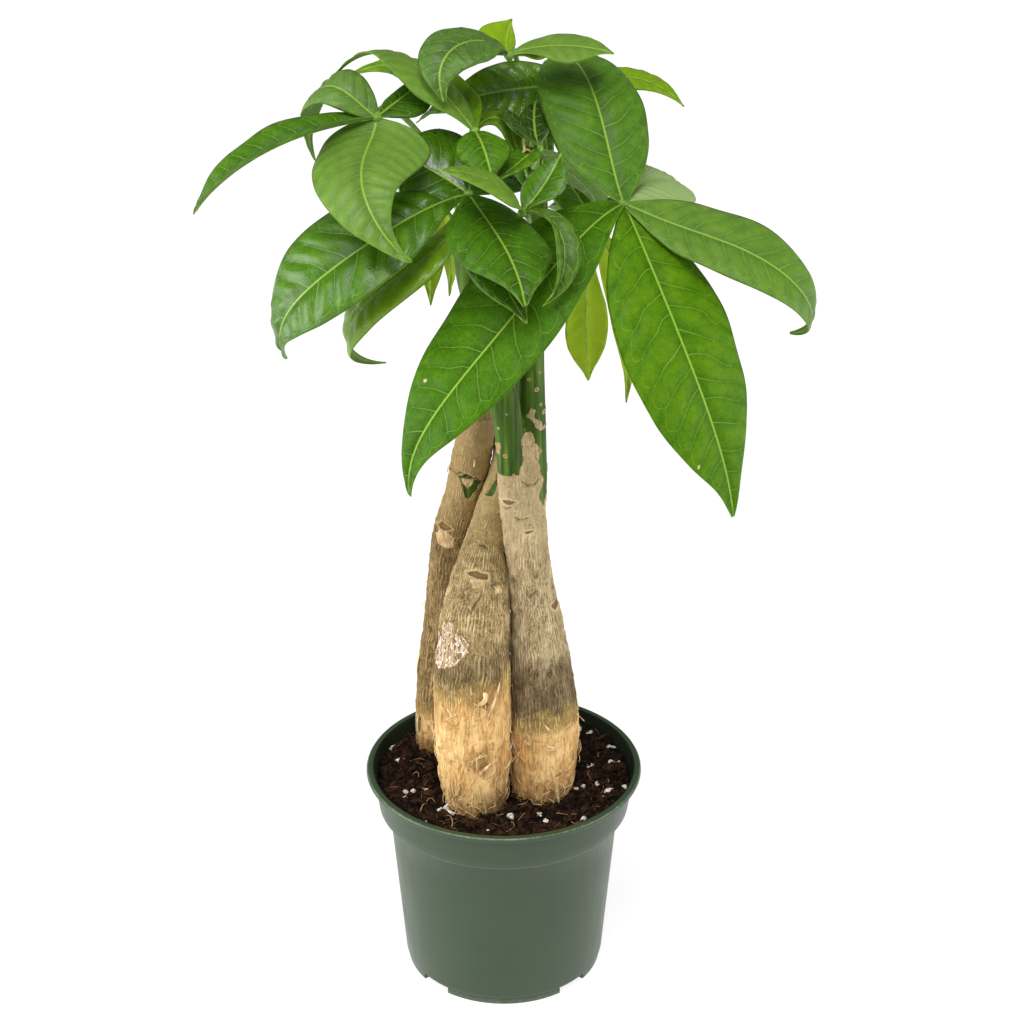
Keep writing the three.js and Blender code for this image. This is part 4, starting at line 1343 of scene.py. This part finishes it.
leaves = {
    "leaf_right": {"stalk": [(17.5, 0, 440), (40, -18, 472), (61, -40, 485)], "leaflets": [
        leaflet(58, (53, -15, 510), (43, 14, 535), (34, 42, 537), (28, 62, 525), fold=8, bow=16,
                skew=1.15, trim=(1, 0.95, 0.82), tone=0.48, shine=0.3, pale=0.04, pucker=1.3,
                gap=10.5),
        leaflet(46, (77, -2, 485), (102, 44, 460), roll=25, fold=12, tone=0.75, shine=0.3, pale=0.75,
                pucker=0.8, gap=7.0),
        leaflet(48, (88, -46, 475.5), (122, -56, 465.5), (149, -60, 447), (157.5, -52, 427),
                (148, -40, 415), roll=20, fold=4, bow=8, skew=1.2, trim=(1, 0.86, 0.9), tone=0.58,
                shine=0.35, pale=0.1, gap=11.0),
        leaflet(67, (73, -64, 463), (93, -92, 420), (106, -96, 385), (118, -90, 334), fold=8, bow=16,
                skew=1.12, trim=(1, 0.97, 1.03), tone=0.56, shine=0.1, gap=13.0),
        leaflet(72, (35, -66, 472), (4, -90, 442), (-33, -102, 397), (-47, -92, 347), roll=-12,
                fold=8, bow=14, skew=1.25, trim=(-1, 0.5, 1), tone=0.43, shine=0.15, gap=13.5),
    ]},
    "leaf_centre": {"stalk": [(-19, -10, 446), (-22, -28, 476), (-17, -52, 494)], "leaflets": [
        leaflet(61, (-52, -74, 485), (-81, -84, 468), (-103, -82, 447), (-109, -66, 412), roll=-26,
                fold=6, bow=10, skew=0.94, trim=(-1, 0.8, 0.78), tone=0.48, shine=0.6, pucker=1.5,
                gap=12.0, wave=0.5),
        leaflet(52, (-2, -84, 483), (7, -106, 472), (11, -120, 460), tone=0.4, shine=0.35, gap=10.0,
                pucker=0.9),
        leaflet(59, (-33, -46, 503), (-56, -41, 513), roll=-32, fold=8, bow=16, trim=(-1, 0.8, 0.8),
                tone=0.36, shine=0.85, pucker=1.0, gap=8.5),
        leaflet(31, (-35, -62, 467), (-66, -68, 444), (-78, -62, 421), (-60, -48, 402), roll=-10,
                fold=20, bow=30, tone=1.0, shine=0.6, pucker=0.8),
        leaflet(32, (-5, -80, 470), (12, -112, 448), fold=20, tone=0.4, shine=0.5),
    ]},
    "leaf_left": {"stalk": [(-21, -6, 458), (-34, 8, 492), (-52, -6, 521), (-62, -42, 530)], "leaflets": [
        leaflet(30, (-94, -56, 527), (-126, -64, 513.5), (-143, -62, 499), (-153.5, -54, 484),
                fold=36, bow=16, tone=0.46, shine=0.3),
        leaflet(52, (-68, -74, 516), (-66, -92, 506), (-57, -102, 491), (-43, -106, 478), fold=8,
                bow=16, skew=1.6, trim=(-1, 1.5, 0.4), tone=0.64, pale=0.14, pucker=1.2, gap=8.5),
        leaflet(35, (-72, -40, 538), (-83, -36, 544), (-92, -27, 539), (-98, -20, 521),
                (-95, -20, 501), roll=-20, fold=8, bow=16, skew=1.3, trim=(-1, 0.65, 0.9), tone=0.52,
                shine=0.5, pale=0.16, pucker=0.9, gap=6.5),
        leaflet(30, (-50, -26, 536), (-37, -8, 540), roll=20, bow=16, trim=(-1, 0.35, 0.5), tone=0.36),
    ]},
    "leaf_upper_left": {"stalk": [(-20.5, -5, 462), (-17, -10, 496), (-14, -38, 522)], "leaflets": [
        leaflet(44, (-35, -22, 543), (-56, -12, 554), (-85, -20, 544), twist=30, tone=0.55, shine=0.3,
                pale=0.14, fresh=0.1),
        leaflet(26, (-24, -8, 533), (-54, 18, 540), (-81, 12, 534), tone=0.62, shine=0.3, fresh=0.2),
        leaflet(30, (-10, -50, 519), (-5, -62, 504), shine=0.25),
    ]},
    "leaf_top": {"stalk": [
        (18, 0, 478), (12, 26, 500), (10, 39, 524), (6, 31, 543), (4, 13, 549), (3, -10, 553),
    ], "leaflets": [
        leaflet(37, (-15, -21, 563), (-28, -35, 558.5), (-28, -44, 538), bow=16, tone=0.38,
                shine=0.45, pale=0.1, pucker=1.4, gap=7.5),
        leaflet(30, (25, -4, 556), (56, -9, 553), roll=12, fold=8, bow=16, skew=0.8, tone=0.55,
                shine=0.35, pale=0.14, fresh=0.15),
        leaflet(30, (2, 2, 558), (5, 10, 566), fold=20, bow=10, trim=(1, 0.4, 0.25), tone=0.7,
                shine=0.3, fresh=0.5),
        leaflet(24, (-12, 12, 547), (-27, 28, 538), tone=0.6, shine=0.3, fresh=0.3),
        leaflet(16, (12, -2, 551), (24, 7, 547), bow=16, tone=0.6, shine=0.3, fresh=0.4),
    ]},
    "leaf_upper_right": {"stalk": [(19, 1, 468), (32, 14, 500), (44, 34, 524)], "leaflets": [
        leaflet(36, (4, 20, 526.5), (-32, 8, 520.5), roll=-56, fold=8, bow=10, trim=(1, 0.7, 1),
                tone=0.62, shine=0.95, pucker=1.3, gap=7.5, wave=0.4),
        leaflet(26, (66, 38, 528), (95, 34, 513), roll=10, fold=16, tone=0.62, shine=0.3, fresh=0.35),
    ]},
    "leaf_young_front": {"stalk": [(17.5, -1, 436), (13, -41, 477), (10, -72, 491)], "leaflets": [
        leaflet(26, (20, -62, 501), (30, -50, 515), fold=14, bow=16, shine=0.6, gap=7.0, pucker=1.0),
        leaflet(35, (-6, -80, 510), (-31, -80, 515), roll=-30, bow=16, tone=0.62, shine=0.35,
                fresh=0.12, pale=0.1),
        leaflet(17, (27, -85, 487), (30, -95, 474), (19, -100, 453), fold=40, bow=10, tone=0.36,
                fresh=0.05),
    ]},
    "leaf_young_inner": {"stalk": [(17, -2, 492), (18, -14, 501), (18, -24, 509)], "leaflets": [
        leaflet(30, (10, -22, 519), (-2, -14, 528), bow=16, tone=0.14, shine=0.6, pucker=0.4, gap=7.0),
        leaflet(17, (16, -7, 518), (17, 9, 524), bow=16, tone=0.14, shine=0.7, gap=7.0),
        leaflet(34, (30, -10, 496), (44, -1, 481), (50, 7, 463), fold=8, bow=16, trim=(-1, 0.55, 0.7),
                tone=0.3, shine=0.6),
        leaflet(20, (8, -40, 506), (-3, -54, 501), fold=20, bow=10, tone=0.55),
        leaflet(14, (5, -16, 513), (-5, -12, 521), (-12, -14, 517), (-5, -18, 513), bow=10, shine=0.5,
                fresh=0.2),
    ]},
    "leaf_back_right": {"stalk": [(20, 31, 400), (32, 40, 432), (48, 40, 448)], "leaflets": [
        leaflet(25, (46, 58, 398), (48, 58, 347), bow=16, skew=0.5, tone=0.7, shine=0.15, fresh=0.75),
        leaflet(24, (70, 70, 376), (70, 66, 330), bow=16, tone=0.75, shine=0.15, fresh=0.7),
        leaflet(40, (76, 62, 446), (108, 80, 420), shine=0.3),
        leaflet(46, (46, 80, 447), (46, 114, 414), tone=0.4, shine=0.3),
        leaflet(30, (37, 50, 464), (25, 56, 477), bow=16),
    ]},
    "leaf_back_left": {"stalk": [(-17, 27, 420), (-26, 40, 446), (-40, 48, 462)], "leaflets": [
        leaflet(18, (-40, 56, 430), (-40, 46, 397), bow=16, tone=0.72, shine=0.15, fresh=0.7),
        leaflet(18, (-31, 56, 436), (-30, 50, 401), bow=16, tone=0.7, shine=0.15, fresh=0.6),
        leaflet(44, (-62, 66, 470), (-90, 86, 452), tone=0.36),
        leaflet(46, (-42, 78, 466), (-46, 116, 436), tone=0.34, shine=0.6),
        leaflet(30.5, (-66, 40, 474), (-96, 36, 462), tone=0.34),
        leaflet(44, (-8, 54, 467), (24, 60, 460), bow=16, tone=0.34),
    ]},
    "leaf_back_upper": {"stalk": [(18.5, 2, 470), (22, 26, 492), (18, 46, 508)], "leaflets": [
        leaflet(44, (40, 64, 514), (64, 94, 494), tone=0.34),
        leaflet(46, (0, 68, 516), (-22, 100, 494), tone=0.3),
        leaflet(48, (16, 78, 512), (20, 121, 478), tone=0.3),
        leaflet(40, (-10, 46, 516), (-46, 48, 500), tone=0.3),
        leaflet(28, (14, 37, 490), (13, 34, 466), bow=16),
    ]},
}


def bladeFrame(curve, roll, twist, t):
    # at each station: the direction to the side and the one that the upper face looks in
    near = leafShape["near"]
    along = unit(curve(np.minimum(1, t + near)) - curve(np.maximum(0, t - near)))
    side = unit(np.cross(along[0], [0, 0, 1]))
    side = side * math.cos(roll) + np.cross(along[0], side) * math.sin(roll)
    sides = []
    for ahead in along:
        side = unit(side - ahead * np.dot(side, ahead))
        sides.append(side)
    twist = twist * t[:, None]
    turned = np.array(sides) * np.cos(twist) + np.cross(along, sides) * np.sin(twist)
    return turned, np.cross(turned, along)


def ruffle(blade, seed, place, gap, x, v, t, ripple):
    # how high the blade stands over its fold: puckers between veins, lumps and a wavy margin
    s = np.abs(v)
    inner = easeIn(0.04, 0.3, s)[None] * (1 - easeIn(0.72, 1, s)[None])
    height = blade["pucker"] * np.abs(np.sin(math.pi * ripple)) ** 1.3 * inner
    height += leafShape["lump"] * noiseAt(place, (22, 14, 9), seed + 3) * s[None]
    height += blade["pucker"] * 0.25 * noiseAt(place, (7, 7, 9), seed + 5) * inner
    ends = np.sin(math.pi * np.clip(t, 0, 1))[:, None] ** 0.6
    swing = np.sin(x * 2 * math.pi / (gap * leafShape["swing"]) + np.sign(v)[None] * 1.3 + seed)
    return height + blade["wave"] * s[None] ** 3 * swing * ends


def sheetPiece(points, face, thick):
    # a closed leaf of two faces that share their edge, with the corners of each of its squares
    rows, columns = thick.shape
    isInner = np.zeros((rows, columns), bool)
    isInner[1:-1, 1:-1] = True
    thick = np.where(isInner, thick, 0)
    top = points + face * thick[..., None] / 2
    under = points - face * thick[..., None] / 2
    number = np.arange(rows * columns).reshape(rows, columns)
    lower = number.copy()
    lower[isInner] = number.size + np.arange(isInner.sum())
    allPoints = np.concatenate([top.reshape(-1, 3), under[isInner]])
    i, j = np.meshgrid(np.arange(rows - 1), np.arange(columns - 1), indexing="ij")
    corner = [(i, j), (i, j + 1), (i + 1, j + 1), (i + 1, j)]
    topQuads = np.stack([number[a, b] for a, b in corner], -1).reshape(-1, 4)
    lowQuads = np.stack([lower[a, b] for a, b in reversed(corner)], -1).reshape(-1, 4)
    piece = meshPiece("leaflet", allPoints, np.concatenate([topQuads, lowQuads]).tolist())
    setValues(piece, "under", np.repeat([0.0, 1.0], len(topQuads)), "FACE")
    return piece, isInner, corner


def bladePiece(hub, blade):
    curve, length = curveThrough([hub, *blade["path"]])
    rows = max(14, int(length / leafShape["cell"]))
    halfCount = max(4, int(blade["wide"] / 2 / leafShape["cell"]))
    t = np.linspace(0, 1, rows + 1)
    share = smoothThrough(outlineShare["station"], outlineShare["width"], t ** (1 / blade["skew"]))
    middle = curve(t)
    turned, normal = bladeFrame(curve, math.radians(blade["roll"]), np.radians(blade["twist"]), t)
    fold = math.radians(blade["fold"])
    bow = math.radians(blade["bow"])
    v = np.linspace(-1, 1, 2 * halfCount + 1)
    s = np.abs(v)
    trimSide, trimHub, trimTip = blade["trim"]
    change = trimHub + (trimTip - trimHub) * t[:, None]
    trimmed = np.where(np.sign(v)[None] == trimSide, change, 1.0)
    half = blade["wide"] / 2 * share[:, None] * trimmed
    curl = np.maximum(2 * bow * share, 1e-4)[:, None]
    lean = fold - curl * s[None]
    out = half * (math.sin(fold) - np.sin(lean)) / curl
    lift = half * (np.cos(lean) - math.cos(fold)) / curl
    sign = np.sign(v)[None, :, None]
    points = middle[:, None] + turned[:, None] * sign * out[..., None]
    points = points + normal[:, None] * lift[..., None]
    face = normal[:, None] * np.cos(lean)[..., None]
    face = face - turned[:, None] * sign * np.sin(lean)[..., None]
    # vein coordinates: across is millimetres from the midrib, count grows by one from vein to vein
    across = half * s[None]
    x = t[:, None] * length
    gap = blade["gap"] or leafShape["veinGap"] * (0.62 + 0.38 * min(1, length / 140))
    bent = leafShape["veinLean"] * across + leafShape["veinBend"] * across ** 2 / (blade["wide"] / 2)
    signed = across * np.sign(v)[None]
    tip = blade["path"][-1]
    seed = int(abs(hub[0] * 7 + tip[0] * 13 + tip[2])) % 97
    place = np.stack([x + 0 * across, signed, np.full(across.shape, float(seed))], -1)
    wander = leafShape["wander"] * noiseAt(place, 12, seed)
    count = {1: (x - bent) / gap + 40 + wander, -1: (x - bent) / gap + 90.45 + wander}
    height = ruffle(blade, seed, place, gap, x, v, t, np.where(v[None] < 0, count[-1], count[1]))
    height -= leafShape["groove"] * np.exp(-(across / 1.5) ** 2) * share[:, None]
    height *= easeIn(0, 0.12, t)[:, None]
    points = points + face * height[..., None]
    thick = leafShape["thick"] * (1 - 0.55 * s[None] ** 2) * np.clip(share[:, None] * 3, 0.3, 1)
    piece, isInner, corner = sheetPiece(points, face, thick)
    # one value at each face corner, so that the two halves can differ at the midrib
    isLeft = corner[0][1] < halfCount
    maps = {"vein": [], "blade": []}
    for order in (corner, corner[::-1]):
        counts = np.stack([np.where(isLeft, count[-1][a, b], count[1][a, b]) for a, b in order], -1)
        shares = np.stack([s[b] for a, b in order], -1)
        lengths = np.stack([x[a, 0] for a, b in order], -1)
        widths = np.stack([signed[a, b] for a, b in order], -1)
        maps["vein"].append(np.stack([counts, shares], -1).reshape(-1, 2))
        maps["blade"].append(np.stack([lengths, widths], -1).reshape(-1, 2) * mm)
    for label, values in maps.items():
        layer = piece.data.uv_layers.new(name=label)
        layer.data.foreach_set("uv", np.concatenate(values).astype(np.float32).ravel())
    halves = half + 0 * across
    setValues(piece, "half", np.concatenate([halves.reshape(-1), halves[isInner]]))
    for label, value in {**blade, "gap": gap}.items():
        if label in ("tone", "shine", "fresh", "pale", "gap"):
            setValues(piece, label, [value] * len(piece.data.vertices))
    ribLine = middle + normal * (height[:, halfCount][:, None] - 0.12)
    thickest = leafShape["rib"] * (0.6 + blade["wide"] / 120)
    ribSize = leafShape["ribTip"] + (thickest - leafShape["ribTip"]) * (1 - t) ** 0.9
    skip = slice(0, -2)
    return piece, (ribLine[skip] - normal[skip] * ribSize[skip, None] * 0.35, ribSize[skip])


# fresh is the young yellow-green with painted backlight glow, on the upper face and the underside
leafColors = {
    "deep": paint(18, 48, 2), "mid": paint(60, 106, 2), "light": paint(112, 150, 16),
    "vein": paint(130, 168, 50), "rib": paint(142, 178, 56), "back": paint(112, 146, 62),
    "fresh": paint(150, 180, 10), "pale": paint(158, 182, 122), "dry": paint(206, 190, 120),
    "freshAndBacklitUnder": paint(158, 184, 20),
}


def cells(place, scale, low, high):
    # the thin borders of a net of cells
    net = {"Vector": place, "Scale": scale}
    net = addNode("ShaderNodeTexVoronoi", net, feature="DISTANCE_TO_EDGE").outputs["Distance"]
    return step(net, low, high, 1, 0)


def leafMaterial():
    ink = leafColors
    material, shader = newMaterial("leaf blade")
    veinMap = addNode("ShaderNodeUVMap", uv_map="vein").outputs[0]
    count, share = addNode("ShaderNodeSeparateXYZ", {0: veinMap}).outputs[:2]
    place = addNode("ShaderNodeUVMap", uv_map="blade").outputs[0]
    half, gap, under, shine = [attribute(label) for label in ("half", "gap", "under", "shine")]
    across = times(share, half)
    # side veins stand one count apart and fade before the margin
    fromVein = sized(minus(fraction(plus(count, 0.5)), 0.5))
    veinDistance = times(times(fromVein, gap), 0.85)
    lateral = step(over(veinDistance, step(share, 0.0, 0.8, 0.26, 0.13)), 0.5, 1.5, 1, 0)
    lateral = times(lateral, step(share, 0.72, 0.82, 1, 0))
    # loops that join the side veins near the margin
    archLine = plus(times(sine(times(fraction(count), math.pi)), 0.16), 0.7)
    arch = step(times(sized(minus(share, archLine)), half), 0.06, 0.3, 0.75, 0)
    rib = step(across, 0.35, 0.8, 1, 0)
    main = larger(larger(lateral, arch), rib)
    # fine net between them
    net = cells(place, 420.0, 0.02, 0.12)
    faint = plus(times(net, 0.2), times(cells(place, 1100.0, 0.02, 0.2), 0.08))
    cloud = noise(place, 16, 3)
    spot = noise(place, 4, 3)
    # painted shade beside the veins and along the midrib, lighter between them
    level = plus(times(minus(cloud, 0.5), 0.4), times(minus(spot, 0.5), 0.22))
    level = plus(plus(attribute("tone"), level), step(veinDistance, 0, 3.2, -0.07, 0.03))
    level = plus(level, step(across, 0.5, 7, -0.1, 0.02))
    # tone and pale carry painted light and shade as well as the leaflet's colour
    lamina = layered(
        ramp(level, (0.1, ink["deep"]), (0.5, ink["mid"]), (0.95, ink["light"])),
        (attribute("fresh"), ink["fresh"]), (attribute("pale"), ink["pale"]),
    )
    # pale thin margin, a few dry specks and the lighter underside
    speck = step(plus(noise(place, 11, 1), times(spot, 0.05)), 0.80, 0.83, 0, 1)
    # the underside of fresh leaflets takes the young colour with painted backlight
    back = blend(attribute("fresh"), ink["back"], ink["freshAndBacklitUnder"])
    color = layered(
        lamina, (times(main, 0.55), ink["vein"]), (faint, blend(0.5, lamina, ink["vein"])),
        (times(rib, 0.75), ink["rib"]), (step(minus(half, across), 0.1, 0.5, 0.6, 0), ink["vein"]),
        (speck, ink["dry"]), (times(under, 0.8), blend(times(main, 0.5), back, ink["vein"])),
    )
    gloss = plus(step(shine, 0, 1, 0.06, 0.62), times(main, 0.1))
    rough = plus(step(shine, 0, 1, 0.5, 0.24), times(under, 0.2))
    rough = plus(rough, times(minus(spot, 0.5), 0.12))
    sunk = times(plus(main, times(net, 0.3)), minus(times(under, 2), 1))
    height = plus(sunk, times(noise(place, 0.9, 2), 0.3))
    finished(shader, color=color, gloss=gloss, rough=rough, normal=bump(height, 0.2, 0.7))
    return material


def stalkMaterial():
    material, shader = newMaterial("leaf stalk")
    spots = noise(objectPlace(), 5, 3)
    color = ramp(spots, (0.35, paint(84, 124, 34)), (0.65, paint(138, 172, 62)))
    finished(shader, color=color, rough=0.42)
    return material


def makeLeaves():
    bladeSkin = leafMaterial()
    stalkSkin = stalkMaterial()
    for name, leaf in leaves.items():
        hub = leaf["stalk"][-1]
        blades, lines = zip(*[bladePiece(hub, blade) for blade in leaf["leaflets"]])
        for piece in blades:
            coated(piece, bladeSkin)
        curve, length = curveThrough(leaf["stalk"])
        t = np.linspace(0, 1, max(10, int(length / 3)))
        size = leafShape["stalk"] * (1 + 0.7 * np.maximum(0, 1 - 6 * t))
        size = size + (leafShape["hub"] - 0.4 - size) * easeIn(0.93, 1, t)
        stalk = tubePiece("stalk", [*lines, (curve(t), size)], stalkSkin, 10)
        knot = lumpyBall("knot", leafShape["hub"], 2, 6, (1, 1, 0.9), 0.15)
        low = np.array([0, 0, leafShape["hub"] * 0.25])
        movePoints(knot, pointsOf(knot) + (np.array(hub) - low) * mm)
        coated(knot, stalkSkin)
        smoothed(knot)
        piece = joined(name.replace("leaf_", "leaves_"), [*blades, stalk, knot])
        finishPiece(piece, "leaf", name)
        print(name, len(piece.data.polygons), "faces")


makeLeaves()

# Dry papery strips left in the young crown.
stipules = {
    "paths": [
        [(11.2, -31.6, 509.5), (10.9, -31.2, 513), (11.3, -31, 516.6)],
        [(11.2, -31, 510), (9.6, -32, 508.4), (7.8, -32.2, 506.8)],
        [(11.4, -31, 510), (13.2, -31.6, 510.2), (14.1, -31.8, 508.2)],
        [(10.6, -31, 509.4), (12, -31.4, 510.6)],
    ],
    "thick": 0.8, "thin": 0.25, "sides": 6, "steps": 9,
}


def makeStipules():
    dry = plainMaterial("dry stipules", paint(150, 96, 52), paint(226, 212, 156), 2.2, 0.8)
    lines = []
    for path in stipules["paths"]:
        curve = curveThrough(path)[0]
        t = np.linspace(0, 1, stipules["steps"])
        lines.append((curve(t), stipules["thick"] + (stipules["thin"] - stipules["thick"]) * t))
    finishPiece(tubePiece("dry_stipules", lines, dry, stipules["sides"]), "leaf")


makeStipules()
